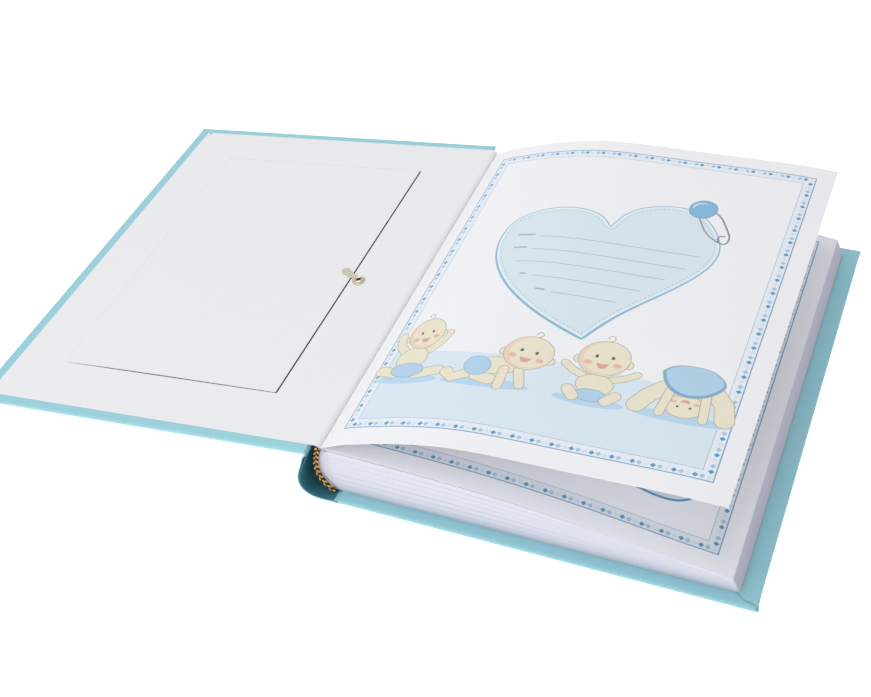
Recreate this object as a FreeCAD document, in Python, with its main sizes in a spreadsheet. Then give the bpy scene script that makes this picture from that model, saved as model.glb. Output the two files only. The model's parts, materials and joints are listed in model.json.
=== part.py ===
"""A case-bound scrapbook album, lying open at its first leaf.

+X runs from the open front cover to the fore edge of the back cover, +Y to the head of the pages and
+Z up. The origin is under the middle of the open album, on the table. Millimetres throughout.
"""
import FreeCAD, Part
import math
import os

import Sketcher
from FreeCAD import Placement, Rotation, Vector

SIZES = [
    ("cover_height", 290, "height of both covers, along the spine"),
    ("cover_width", 233.4, "width of each board with its covering"),
    ("cover_thickness", 3.0, "board, covering and endpaper together"),
    ("half_length", 238.6, "half the length of the open album"),
    ("skin", 0.25, "thickness of covering, endpaper and window film"),
    ("turn_in", 5.5, "covering that shows round the endpaper at head and tail"),
    ("turn_in_fore", 7.5, "the same at the fore edge"),
    ("back_turn_in", 6.5, "covering that shows round the back cover's endpaper at head and tail"),
    ("back_turn_in_fore", 11.0, "the same at the back cover's fore edge"),
    ("front_tilt", 6.67, "slope of the open front cover, degrees"),
    ("front_end_x", -6.75, "hinge end of the front cover's inner face"),
    ("front_end_z", 38.7, "its height"),
    ("flap_near", 41, "cut edge of the flap, from the cover's hinge end"),
    ("flap_far", 192, "crease of the flap, from the cover's hinge end"),
    ("flap_low", -105, "tail edge of the flap"),
    ("flap_high", 110, "head edge of the flap"),
    ("flap_gap", 0.8, "gap round the flap's three cut edges"),
    ("flap_thickness", 1.4, "flap board and its facing"),
    ("crease_gap", 0.4, "gap at the flap's crease"),
    ("window_rim", 12, "rim of the window inside the flap opening"),
    ("mat_thickness", 0.8, "card round the window"),
    ("rivet_from_end", 34.3, "rivet, from the cover's hinge end"),
    ("rivet_y", -4.0, "rivet, along the spine"),
    ("rivet_radius", 1.5, "shank of the rivet"),
    ("rivet_running", 0.05, "clearance of the button round the shank"),
    ("rivet_head", 2.6, "radius of the rivet's head"),
    ("rivet_head_thickness", 0.4, "thickness of the rivet's head"),
    ("rivet_head_slope", 0.2, "how much narrower the rivet's head is at its top"),
    ("dimple_radius", 0.9, "radius of the hole in the rivet"),
    ("dimple_depth", 1.1, "depth of that hole"),
    ("washer_radius", 4.2, "radius of the washer"),
    ("washer_thickness", 0.35, "thickness of the washer"),
    ("button_thickness", 0.7, "metal of the turn button"),
    ("button_gap", 0.1, "play above and below the button"),
    ("button_round", 3.6, "radius of the button's round end"),
    ("button_reach", 17, "rivet to the tip of the button"),
    ("button_waist", 1.95, "half the button's width at its waist"),
    ("button_waist_x", 7.1, "rivet to the waist"),
    ("button_flare", 2.55, "half the button's width at its tip"),
    ("button_tip_depth", 1.9, "length of the button's rounded tip"),
    ("button_shoulder_x", 2.7, "rivet to the end of the round"),
    ("button_angle", 150, "direction of the button on the cover, degrees"),
    ("liner_thickness", 0.7, "card inside the spine covering"),
    ("liner_inset", 3, "covering turned in over each end of that card"),
    ("back_pivot_x", -10.5, "axis of the back joint"),
    ("back_pivot_z", 0.9, "its height"),
    ("front_pivot_x", -4.7, "axis of the front joint"),
    ("front_pivot_z", 41.3, "its height"),
    ("joint_strip_radius", 2.9, "outside of the rolled front joint strip"),
    ("joint_strip_thickness", 0.6, "its thickness"),
    ("page_height", 277, "height of the leaves"),
    ("leaf_thickness", 0.3, "card of each leaf"),
    ("leaf_root_x", 3.0, "where the leaves leave their stubs"),
    ("block_bottom", 3.3, "underside of the block"),
    ("block_root_top", 35.9, "top of the second leaf at the spine"),
    ("block_fore_top", 13.8, "top of the second leaf at its fore edge"),
    ("fore_low", 228.3, "fore edge of the lowest leaf"),
    ("fore_high", 224.6, "fore edge of the second leaf"),
    ("leaf_bow", 5.65, "how far the second leaf bows up from straight"),
    ("section_count", 7, "groups of leaves under the second leaf"),
    ("leaves_per_section", 4, "leaves in each group"),
    ("section_gap", 0.16, "air between one group and the next"),
    ("lining_thickness", 0.5, "mull and glue on the back of the block"),
    ("stub_end", 0.4, "right-hand end of the stubs"),
    ("stub_thickness", 0.75, "card of the stubs"),
    ("headband_radius", 1.2, "thickness of the headbands, as a radius"),
    ("first_leaf_thickness", 0.35, "card of the first leaf"),
    ("first_stub_thickness", 0.6, "stub of the first leaf"),
    ("first_stub_start", 0.4, "from the gutter to the start of the first leaf's stub"),
    ("first_stub_gap", 1.1, "from the end of that stub to the first leaf's hinge"),
    ("stub_back_gap", 0.4, "from the back of the block to the stubs"),
    ("stub_rise", 2.4, "from the plain leaf to the lowest stub"),
    ("stub_fall", 1.5, "from the top of the second leaf to the highest stub"),
    ("headband_gap", 0.1, "between the block and its headbands"),
    ("least_bow", 0.05, "a leaf that bows less than this is flat"),
]
# Shapes in the XZ section, in millimetres from the middle of the open album's underside: x, z.
# Top of the first leaf, from its hinge to its fore edge, and the gutter where its stub starts.
FIRST_LEAF_SHAPE = [
    (3.5, 40.2), (21.6, 48.0), (54.6, 58.4), (92.2, 64.0), (155.5, 66.2), (201.5, 67.4), (219.4, 66.8),
]
GUTTER = (-2.9, 37.0)
# Start, middle and end of the rolled front joint strip round the joint's axis, degrees.
STRIP_ANGLES = (200, 270, 340)
# The first leaf starts this share of its length past its hinge.
FIRST_LEAF_START = 0.002
# Outside of the hollow spine from the front joint to the back joint, and the share its card lines.
SPINE_SHAPE = [(-10.4, 34.7), (-13.9, 26.9), (-17.4, 16.4), (-17.9, 9.4), (-16.2, 4.9), (-11.2, 0.9)]
LINER_SHARE = (0.06, 0.86)
# Rounded back of the block from top to bottom, and the line of the headbands on it.
BLOCK_BACK_SHAPE = [(-3.4, 35.6), (-6.4, 21.0), (0.0, 5.2)]
HEADBAND_SHAPE = [(-4.0, 34.8), (-8.4, 19.5), (-1.6, 4.9)]

document = FreeCAD.newDocument("Album")
sheet = document.addObject("Spreadsheet::Sheet", "Sizes")
for row, (alias, number, meaning) in enumerate(SIZES, start=1):
    sheet.set(f"A{row}", meaning)
    sheet.set(f"B{row}", str(number))
    sheet.setAlias(f"B{row}", alias)
document.recompute()

finished = []


def size(alias):
    """One driving dimension, as the spreadsheet holds it."""
    return float(getattr(sheet, alias))


def bind(thing, name, formula):
    """Binds one property to a formula, in which <alias> stands for a cell of the spreadsheet."""
    thing.setExpression(name, formula.replace("<", "Sizes.").replace(">", ""))


def finish(thing, label, placement=None):
    """Marks a finished sub-part: its label names its file, and its placement sets it in the album."""
    thing.Label = label
    if placement is not None:
        thing.Placement = placement
    finished.append(thing)
    return thing


def in_front_cover():
    """The front cover's own frame: origin at its hinge end, on the inner face, with X along the face."""
    corner = Vector(size("front_end_x"), 0, size("front_end_z"))
    return Placement(corner, Rotation(Vector(0, 1, 0), -size("front_tilt")))


# ---- flat pieces: a sketch of rectangles and circles, padded ------------------------------------
def named(sketch, constraint, name, formula):
    """Adds a dimension to a sketch and binds it to a formula."""
    index = sketch.addConstraint(constraint)
    sketch.renameConstraint(index, name)
    bind(sketch, "Constraints." + name, formula)


def rectangle(sketch, name, left, right, low, high):
    """A rectangle whose four sides lie at the four formulas."""
    first = sketch.GeometryCount
    corners = [Vector(0, 0), Vector(1, 0), Vector(1, 1), Vector(0, 1)]
    for side in range(4):
        sketch.addGeometry(Part.LineSegment(corners[side], corners[(side + 1) % 4]))
    for side in range(4):
        following = first + (side + 1) % 4
        sketch.addConstraint(Sketcher.Constraint("Coincident", first + side, 2, following, 1))
        level = "Vertical" if side % 2 else "Horizontal"
        sketch.addConstraint(Sketcher.Constraint(level, first + side))
    for word, direction, edge, formula in (
        ("left", "DistanceX", first, left),
        ("right", "DistanceX", first + 2, right),
        ("low", "DistanceY", first, low),
        ("high", "DistanceY", first + 2, high),
    ):
        named(sketch, Sketcher.Constraint(direction, -1, 1, edge, 1, 1.0), f"{name}_{word}", formula)


def circle(sketch, name, radius):
    """A circle about the rivet."""
    index = sketch.GeometryCount
    sketch.addGeometry(Part.Circle(Vector(0, 0), Vector(0, 0, 1), 1))
    named(sketch, Sketcher.Constraint("DistanceX", -1, 1, index, 3, -1.0), name + "_x", "-<rivet_from_end>")
    named(sketch, Sketcher.Constraint("DistanceY", -1, 1, index, 3, -1.0), name + "_y", "<rivet_y>")
    named(sketch, Sketcher.Constraint("Radius", index, 1.0), name + "_radius", radius)


def sketch_in(body, name, height):
    """A sketch on the body's XY plane, raised to a formula's height."""
    sketch = body.newObject("Sketcher::SketchObject", name)
    plane = next(f for f in body.Origin.OriginFeatures if f.Role == "XY_Plane")
    sketch.AttachmentSupport = [(plane, "")]
    sketch.MapMode = "FlatFace"
    bind(sketch, "AttachmentOffset.Base.z", height)
    return sketch


def plate(label, outline, bottom, top, openings=(), holes=(), placement=None):
    """A flat piece between two heights, with rectangular openings and round holes at the rivet."""
    body = document.addObject("PartDesign::Body", label)
    sketch = sketch_in(body, label + "_sketch", bottom)
    if isinstance(outline, str):
        circle(sketch, "outline", outline)
    else:
        rectangle(sketch, "outline", *outline)
    for number, opening in enumerate(openings):
        rectangle(sketch, f"opening{number}", *opening)
    for number, radius in enumerate(holes):
        circle(sketch, f"hole{number}", radius)
    pad = body.newObject("PartDesign::Pad", label + "_pad")
    pad.Profile = sketch
    bind(pad, "Length", f"({top}) - ({bottom})")
    return finish(body, label, placement)


def box(name, left, right, low, high, bottom, top):
    """A box between two X, two Y and two Z formulas, for use in a covering."""
    solid = document.addObject("Part::Box", name)
    bind(solid, "Length", f"({right}) - ({left})")
    bind(solid, "Width", f"({high}) - ({low})")
    bind(solid, "Height", f"({top}) - ({bottom})")
    bind(solid, "Placement.Base.x", left)
    bind(solid, "Placement.Base.y", low)
    bind(solid, "Placement.Base.z", bottom)
    return solid


def together(name, *pieces):
    """One solid from pieces that touch."""
    fuse = document.addObject("Part::MultiFuse", name)
    fuse.Shapes = list(pieces)
    return fuse


def without(name, base, *tools):
    """The base with the tools cut away."""
    result = document.addObject("Part::Cut", name)
    result.Base = base
    result.Tool = tools[0] if len(tools) == 1 else together(name + "_tools", *tools)
    return result


HALF = "<cover_height> / 2"
IN_EDGE = [f"-{HALF} + <skin>", f"{HALF} - <skin>"]
IN_TURN = [f"-{HALF} + <turn_in>", f"{HALF} - <turn_in>"]


def build_back_cover():
    """The back cover, flat on the table: board, endpaper and covering with its strip under the joint."""
    left = "<half_length> - <cover_width>"
    right = "<half_length>"
    board_top = "<cover_thickness> - <skin>"
    plate("back_board", [left, right + " - <skin>", *IN_EDGE], "<skin>", board_top)
    paper_end = right + " - <back_turn_in_fore>"
    paper_sides = [f"-{HALF} + <back_turn_in>", f"{HALF} - <back_turn_in>"]
    plate("back_pastedown", [left, paper_end, *paper_sides], board_top, "<cover_thickness>")
    tray = without(
        "back_tray",
        box("back_outside", left, right, f"-{HALF}", HALF, "0", "<cover_thickness>"),
        box("back_board_space", left + " - 1", right + " - <skin>", *IN_EDGE, "<skin>", board_top),
        box("back_paper_space", left + " - 1", paper_end, *IN_TURN, "<skin>", "<cover_thickness> + 1"),
    )
    strip = box("back_strip", "<back_pivot_x> + <skin>", left + " + 1", f"-{HALF}", HALF, "0", "<skin>")
    finish(together("back_covering", tray, strip), "back_covering")


def build_front_cover():
    """The front cover with its photo pocket, built in the cover's own frame."""
    place = in_front_cover()
    left = "-<cover_width>"
    under = "-<cover_thickness>"
    opening = ["-<flap_far>", "-<flap_near> + <flap_gap>"]
    opening += ["<flap_low> - <flap_gap>", "<flap_high> + <flap_gap>"]
    window = ["-<flap_far> + <window_rim>", "-<flap_near> - <window_rim>"]
    window += ["<flap_low> + <window_rim>", "<flap_high> - <window_rim>"]
    paper_end = left + " + <turn_in_fore>"
    board_low = under + " + <skin>"
    mat_top = board_low + " + <mat_thickness>"
    plate(
        "front_board",
        [left + " + <skin>", "0", *IN_EDGE],
        board_low,
        "-<skin>",
        openings=[opening],
        holes=["<rivet_radius>"],
        placement=place,
    )
    plate(
        "front_pastedown",
        [paper_end, "0", *IN_TURN],
        "-<skin>",
        "0",
        openings=[opening],
        holes=["<rivet_radius>"],
        placement=place,
    )
    plate("window_mat", opening, board_low, mat_top, openings=[window], placement=place)
    plate("window_film", opening, mat_top, mat_top + " + <skin>", placement=place)
    tray = without(
        "front_covering",
        box("front_outside", left, "0", f"-{HALF}", HALF, under, "0"),
        box("front_board_space", left + " + <skin>", "1", *IN_EDGE, board_low, "-<skin>"),
        box("front_paper_space", paper_end, "1", *IN_TURN, board_low, "1"),
        box("front_window", *window, under + " - 1", "1"),
    )
    finish(tray, "front_covering", place)
    flap = ["-<flap_far> + <crease_gap>", "-<flap_near>", "<flap_low>", "<flap_high>"]
    plate("flap_board", flap, "-<flap_thickness>", "-<skin>", placement=place)
    plate("flap_facing", flap, "-<skin>", "0", placement=place)


def build_turn_button():
    """The metal button that holds the flap, its rivet and its washer."""
    place = in_front_cover()
    rivet_hole = ["<rivet_radius>"]
    plate("button_washer", "<washer_radius>", "0", "<washer_thickness>", holes=rivet_hole, placement=place)

    button_low = size("washer_thickness") + size("button_gap")
    button_top = button_low + size("button_thickness")
    reach, waist, flare = size("button_reach"), size("button_waist"), size("button_flare")
    radius = size("button_round")
    waist_x = size("button_waist_x")
    tip_x = reach - size("button_tip_depth")
    leave_x = size("button_shoulder_x")
    leave_y = math.sqrt(radius**2 - leave_x**2)
    edges = []
    for turn in (1, -1):
        start = Vector(leave_x, turn * leave_y)
        narrow = Vector(waist_x, turn * waist)
        wide = Vector(tip_x, turn * flare)
        edges.append(Part.LineSegment(start, narrow))
        edges.append(Part.LineSegment(narrow, wide))
    tip = Part.Arc(Vector(tip_x, flare), Vector(reach, 0), Vector(tip_x, -flare))
    round_end = Part.Arc(Vector(leave_x, leave_y), Vector(-radius, 0), Vector(leave_x, -leave_y))
    hole = Part.Circle(Vector(0, 0), Vector(0, 0, 1), size("rivet_radius") + size("rivet_running"))

    body = document.addObject("PartDesign::Body", "turn_button")
    sketch = sketch_in(body, "turn_button_sketch", "<washer_thickness> + <button_gap>")
    for edge in [*edges, tip, round_end, hole]:
        sketch.addGeometry(edge)
    pad = body.newObject("PartDesign::Pad", "turn_button_pad")
    pad.Profile = sketch
    bind(pad, "Length", "<button_thickness>")
    rivet_place = Vector(-size("rivet_from_end"), size("rivet_y"), 0)
    turned = Placement(rivet_place, Rotation(Vector(0, 0, 1), size("button_angle")))
    finish(body, "turn_button", place * turned)

    head_low = button_top + size("button_gap")
    shank_radius, head_radius = size("rivet_radius"), size("rivet_head")
    head_top = head_low + size("rivet_head_thickness")
    foot_low = size("skin") - size("cover_thickness")
    dimple_radius, dimple_depth = size("dimple_radius"), size("dimple_depth")
    outline = [
        Vector(0, 0, foot_low),
        Vector(shank_radius, 0, foot_low),
        Vector(shank_radius, 0, head_low),
        Vector(head_radius, 0, head_low),
        Vector(head_radius - size("rivet_head_slope"), 0, head_top),
        Vector(dimple_radius, 0, head_top),
        Vector(dimple_radius, 0, head_top - dimple_depth),
        Vector(0, 0, head_top - dimple_depth),
    ]
    face = Part.Face(Part.makePolygon([*outline, outline[0]]))
    rivet = document.addObject("Part::Feature", "button_rivet")
    rivet.Shape = face.revolve(Vector(0, 0, 0), Vector(0, 0, 1), 360)
    finish(rivet, "button_rivet", place * Placement(rivet_place, Rotation()))


# ---- bent sheets: a section in the XZ plane, extruded along the spine --------------------------------
def at(point):
    """A point of the XZ section, as a vector."""
    return Vector(point[0], 0, point[1])


def smooth(points):
    """A smooth curve through points of the section."""
    curve = Part.BSplineCurve()
    curve.interpolate([at(point) for point in points])
    return curve


def band(curve, near, far, start=0.0, end=1.0, steps=16):
    """The face between two parallels of a curve, near and far millimetres to the right of its travel."""
    first, last = curve.FirstParameter, curve.LastParameter
    sides = []
    for offset in (near, far):
        points = []
        for step in range(steps + 1):
            place = first + (last - first) * (start + (end - start) * step / steps)
            point = curve.value(place)
            along = curve.tangent(place)[0]
            points.append((point.x + along.z * offset, point.z - along.x * offset))
        sides.append(points)
    one, other = sides
    ends = [Part.makeLine(at(one[0]), at(other[0])), Part.makeLine(at(one[-1]), at(other[-1]))]
    return Part.Face(Part.Wire([ends[0], smooth(one).toShape(), ends[1], smooth(other).toShape()]))


def sheet_along_spine(label, face, half_height):
    """A section extruded from tail to head, half_height each side of the middle."""
    section = face.copy()
    section.translate(Vector(0, -half_height, 0))
    feature = document.addObject("Part::Feature", label)
    feature.Shape = section.extrude(Vector(0, 2 * half_height, 0))
    return finish(feature, label)


def leaf_section(left, right, bow, thickness):
    """A leaf in section: a shallow arc over its top from left to right, and square ends."""
    down = Vector(0, 0, -thickness)
    middle = (left + right) * 0.5 + Vector(0, 0, bow)
    if bow < size("least_bow"):
        over = Part.makeLine(left, right)
        below = Part.makeLine(left + down, right + down)
    else:
        over = Part.Arc(left, middle, right).toShape()
        below = Part.Arc(left + down, middle + down, right + down).toShape()
    ends = [Part.makeLine(left, left + down), Part.makeLine(right, right + down)]
    return Part.Face(Part.Wire([ends[0], over, ends[1], below]))


def build_spine():
    """The hollow spine, covering outside and card inside, from the front joint down to the back joint."""
    curve = smooth(SPINE_SHAPE)
    skin = size("skin")
    half = size("cover_height") / 2
    sheet_along_spine("spine_covering", band(curve, 0, -skin), half)
    liner = band(curve, -skin, -skin - size("liner_thickness"), *LINER_SHARE)
    sheet_along_spine("spine_liner", liner, half - size("liner_inset"))


def build_front_joint():
    """The rolled strip of endpaper and mull in the front joint, about the joint's own axis."""
    centre = at((size("front_pivot_x"), size("front_pivot_z")))
    outer = size("joint_strip_radius")
    inner = outer - size("joint_strip_thickness")

    def arc(radius):
        points = []
        for degrees in STRIP_ANGLES:
            turn = math.radians(degrees)
            points.append(centre + Vector(math.cos(turn), 0, math.sin(turn)) * radius)
        return Part.Arc(*points).toShape()

    outside, inside = arc(outer), arc(inner)
    ends = []
    for index in (0, 1):
        ends.append(Part.makeLine(outside.Vertexes[index].Point, inside.Vertexes[index].Point))
    face = Part.Face(Part.Wire([outside, ends[1], inside, ends[0]]))
    sheet_along_spine("front_joint_strip", face, size("page_height") / 2)


def build_block_back():
    """The back of the block: its lining and the two headbands at head and tail."""
    sheet_along_spine(
        "spine_lining", band(smooth(BLOCK_BACK_SHAPE), 0, size("lining_thickness")), size("page_height") / 2
    )
    path = Part.Wire([smooth(HEADBAND_SHAPE).toShape()])
    start = path.Edges[0]
    radius = size("headband_radius")
    first = start.FirstParameter
    ring = Part.makeCircle(radius, start.valueAt(first), start.tangentAt(first))
    band_solid = path.makePipeShell([Part.Wire([ring])], True, False)
    end = size("page_height") / 2 + radius + size("headband_gap")
    for label, place in (("headband_tail", -end), ("headband_head", end)):
        feature = document.addObject("Part::Feature", label)
        feature.Shape = band_solid
        finish(feature, label, Placement(Vector(0, place, 0), Rotation()))


def build_first_leaf():
    """The first leaf, standing up in a curve, and the stub that it turns on."""
    half = size("page_height") / 2
    card = band(smooth(FIRST_LEAF_SHAPE), 0, size("first_leaf_thickness"), FIRST_LEAF_START)
    sheet_along_spine("leaf_1", card, half)
    gutter, hinge = at(GUTTER), at(FIRST_LEAF_SHAPE[0])
    along = (hinge - gutter).normalize()
    start = gutter + along * size("first_stub_start")
    end = hinge - along * size("first_stub_gap")
    down = Vector(along.z, 0, -along.x) * size("first_stub_thickness")
    face = Part.Face(Part.makePolygon([start, end, end + down, start + down, start]))
    sheet_along_spine("leaf_1_guard", face, half)


def build_leaves():
    """The second leaf and the groups of leaves under it, from the plain leaf at the bottom upwards."""
    half = size("page_height") / 2
    card, air = size("leaf_thickness"), size("section_gap")
    per_section, sections = int(size("leaves_per_section")), int(size("section_count"))
    count = per_section * sections + 1
    fore_bottom = size("block_bottom") + card
    fore_pitch = (size("block_fore_top") - fore_bottom - air * (sections + 1)) / count
    root_pitch = (size("block_root_top") - fore_bottom - air) / count

    def leaf(number):
        """The leaf at a place in the stack: 0 is the plain leaf and count the second leaf."""
        share = number / count
        gaps = 0 if number == 0 else (number - 1) // per_section + 1
        left = Vector(size("leaf_root_x"), 0, fore_bottom + air * (number > 0) + root_pitch * number)
        fore_x = size("fore_low") + (size("fore_high") - size("fore_low")) * share
        right = Vector(fore_x, 0, fore_bottom + fore_pitch * number + air * gaps)
        return leaf_section(left, right, size("leaf_bow") * share, card)

    sheet_along_spine("back_endleaf", leaf(0), half)
    for section in range(sections):
        first = 1 + per_section * (sections - 1 - section)
        solids = []
        for number in range(first, first + per_section):
            face = leaf(number)
            face.translate(Vector(0, -half, 0))
            solids.append(face.extrude(Vector(0, 2 * half, 0)))
        feature = document.addObject("Part::Feature", f"section_{section + 1}")
        feature.Shape = Part.makeCompound(solids)
        finish(feature, f"leaf_section_{section + 1}")
    sheet_along_spine("leaf_2", leaf(count), half)

    back = smooth(BLOCK_BACK_SHAPE)
    lowest = size("block_bottom") + card + size("stub_rise")
    highest = size("block_root_top") - size("stub_fall")
    beyond = size("cover_height")
    stubs = []
    for number in range(1, count):
        height = lowest + (highest - lowest) * (number - 1) / (count - 2)
        level = Part.makeLine(Vector(-beyond, 0, height), Vector(beyond, 0, height))
        meeting = level.distToShape(back.toShape())[1][0][0]
        left = meeting.x + size("stub_back_gap")
        stub = Part.makeBox(size("stub_end") - left, 2 * half, size("stub_thickness"))
        stub.translate(Vector(left, -half, height - size("stub_thickness") / 2))
        stubs.append(stub)
    feature = document.addObject("Part::Feature", "stubs")
    feature.Shape = Part.makeCompound(stubs)
    finish(feature, "binding_guards")


def check_and_write():
    """Recomputes the document, checks every object and sub-part, and writes parts/LABEL.step."""
    document.recompute()
    for thing in document.Objects:
        if {"Invalid", "Error"} & set(thing.State):
            raise RuntimeError(f"{thing.Name} failed: {thing.State}")
    os.makedirs("parts", exist_ok=True)
    whole = FreeCAD.BoundBox()
    for thing in finished:
        shape = thing.Shape
        if shape.isNull() or not shape.isValid() or not shape.Solids:
            raise RuntimeError(f"{thing.Label} is not a valid solid")
        whole.add(shape.BoundBox)
        shape.exportStep(f"parts/{thing.Label}.step")
    print(len(finished), "sub-parts", whole)


build_back_cover()
build_front_cover()
build_turn_button()
build_spine()
build_front_joint()
build_block_back()
build_first_leaf()
build_leaves()
check_and_write()
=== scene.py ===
"""Looks for the scrapbook album that lies open at its first leaf.

Lengths are millimetres until a mesh is made. +X runs from the open front cover to the fore edge of the
back cover, +Y to the head of the pages and +Z up, as in the CAD frame.
"""
import json
import math
import random

import bmesh
import bpy
from mathutils import Matrix, Vector
from mathutils.geometry import delaunay_2d_cdt


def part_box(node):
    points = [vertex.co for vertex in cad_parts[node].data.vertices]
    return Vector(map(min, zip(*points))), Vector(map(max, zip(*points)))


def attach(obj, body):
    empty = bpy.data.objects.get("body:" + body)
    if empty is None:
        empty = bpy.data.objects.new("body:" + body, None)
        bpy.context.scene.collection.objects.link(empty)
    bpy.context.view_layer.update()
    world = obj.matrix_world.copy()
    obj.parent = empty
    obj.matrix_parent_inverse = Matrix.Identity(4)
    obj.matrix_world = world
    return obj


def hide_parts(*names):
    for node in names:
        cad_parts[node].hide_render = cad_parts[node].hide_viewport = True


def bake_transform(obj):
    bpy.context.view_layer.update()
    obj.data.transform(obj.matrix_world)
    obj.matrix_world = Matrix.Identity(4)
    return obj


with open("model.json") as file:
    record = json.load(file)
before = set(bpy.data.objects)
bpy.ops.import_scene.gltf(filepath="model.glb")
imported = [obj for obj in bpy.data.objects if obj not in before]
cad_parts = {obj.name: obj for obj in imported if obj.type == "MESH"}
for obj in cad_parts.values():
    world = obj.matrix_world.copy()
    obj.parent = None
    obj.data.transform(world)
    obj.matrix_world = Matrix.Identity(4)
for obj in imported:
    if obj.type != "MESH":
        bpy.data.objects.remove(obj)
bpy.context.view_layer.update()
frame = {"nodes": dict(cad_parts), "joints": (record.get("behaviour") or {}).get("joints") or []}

MM = 0.001
random.seed(7)

# ---- what the frame says ------------------------------------------------------------------------------
JOINTS = {joint["name"]: joint for joint in frame["joints"]}


def box(node):
    """The lowest and highest corner of a CAD node, in millimetres."""
    low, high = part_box(node)
    return Vector(low) / MM, Vector(high) / MM


def pivot(joint):
    """The point (x, z) of a hinge's axis, in millimetres."""
    point = JOINTS[joint]["pos_m"]
    return Vector((point[0] / MM, point[2] / MM))


def reach(node, direction):
    """The lowest and highest value of a CAD node along a direction of the XZ plane."""
    values = []
    for vertex in frame["nodes"][node].data.vertices:
        values.append((vertex.co.x * direction.x + vertex.co.z * direction.y) / MM)
    return min(values), max(values)


class Cover:
    """A cover's own frame: u from its hinge end to its fore edge, w up from its inner face."""

    def __init__(self, paper, board, along, up):
        self.along = along
        self.up = up
        low_u, high_u = reach(board, along)
        self.width = high_u - low_u + SKIN
        self.origin = along * low_u + up * reach(paper, up)[1]

    def place(self, u, y, w):
        """A point of the cover, in the row frame."""
        point = self.origin + self.along * u + self.up * w
        return Vector((point.x, y, point.y))

    def span(self, node):
        """A CAD node's box in the cover's frame: low and high (u, y, w)."""
        base = Vector((self.origin.dot(self.along), self.origin.dot(self.up)))
        low, high = box(node)
        us = [value - base.x for value in reach(node, self.along)]
        ws = [value - base.y for value in reach(node, self.up)]
        return Vector((us[0], low.y, ws[0])), Vector((us[1], high.y, ws[1]))


SKIN = 0.25
spin = JOINTS["turn_button_spin"]["axis"]
FRONT_UP = Vector((spin[0], spin[2])).normalized()
FRONT_ALONG = Vector((-FRONT_UP.y, FRONT_UP.x))
FRONT = Cover("front_pastedown", "front_board", FRONT_ALONG, FRONT_UP)
BACK = Cover("back_pastedown", "back_board", Vector((1, 0)), Vector((0, 1)))
HALF_COVER = box("back_covering")[1].y
THICK = box("back_covering")[1].z
HALF_PAGE = box("leaf_2")[1].y
TURN_IN = HALF_COVER - box("front_pastedown")[1].y


# ---- lines and meshes ---------------------------------------------------------------------------------
def spline(points, per_span=12):
    """A natural cubic through 2-D points, as a dense list of points."""
    spans = [(Vector(b) - Vector(a)).length for a, b in zip(points, points[1:])]
    count = len(points)
    seconds = []
    for axis in range(2):
        low, diag, high, right = [0.0] * count, [1.0] * count, [0.0] * count, [0.0] * count
        for i in range(1, count - 1):
            low[i] = spans[i - 1]
            diag[i] = 2 * (spans[i - 1] + spans[i])
            high[i] = spans[i]
            after = (points[i + 1][axis] - points[i][axis]) / spans[i]
            before = (points[i][axis] - points[i - 1][axis]) / spans[i - 1]
            right[i] = 6 * (after - before)
        for i in range(1, count):
            factor = low[i] / diag[i - 1]
            diag[i] -= factor * high[i - 1]
            right[i] -= factor * right[i - 1]
        second = [0.0] * count
        second[-1] = right[-1] / diag[-1]
        for i in range(count - 2, -1, -1):
            second[i] = (right[i] - high[i] * second[i + 1]) / diag[i]
        seconds.append(second)
    result = []
    for i, span in enumerate(spans):
        steps = per_span + (i == count - 2)
        for step in range(steps):
            t = step / per_span
            point = []
            for axis in range(2):
                a, b = points[i][axis], points[i + 1][axis]
                bend = ((1 - t) ** 3 - (1 - t)) * seconds[axis][i] + (t**3 - t) * seconds[axis][i + 1]
                point.append((1 - t) * a + t * b + bend * span**2 / 6)
            result.append(Vector(point))
    return result


class Line:
    """A 2-D line that is followed by its arc length."""

    def __init__(self, points):
        self.points = [Vector(point) for point in points]
        self.marks = [0.0]
        for a, b in zip(self.points, self.points[1:]):
            self.marks.append(self.marks[-1] + (b - a).length)
        self.length = self.marks[-1]

    def at(self, s):
        """The point at arc length s; the line runs on straight past its ends."""
        index = 0
        while index < len(self.points) - 2 and self.marks[index + 1] < s:
            index += 1
        a, b = self.points[index], self.points[index + 1]
        return a + (b - a) * ((s - self.marks[index]) / (self.marks[index + 1] - self.marks[index]))

    def left(self, s, reach_each_side=0.4):
        """The unit normal on the left of its travel at arc length s."""
        ahead = self.at(s + reach_each_side) - self.at(s - reach_each_side)
        return Vector((-ahead.y, ahead.x)).normalized()


def inside(point, loop):
    """Whether a point lies inside a closed loop."""
    found = False
    for a, b in zip(loop, [*loop[1:], loop[0]]):
        if (a[1] > point.y) != (b[1] > point.y):
            if point.x < a[0] + (b[0] - a[0]) * (point.y - a[1]) / (b[1] - a[1]):
                found = not found
    return found


def steps_between(start, end, count):
    """Evenly spaced values from start to end, both included."""
    return [start + (end - start) * i / count for i in range(count + 1)]


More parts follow.
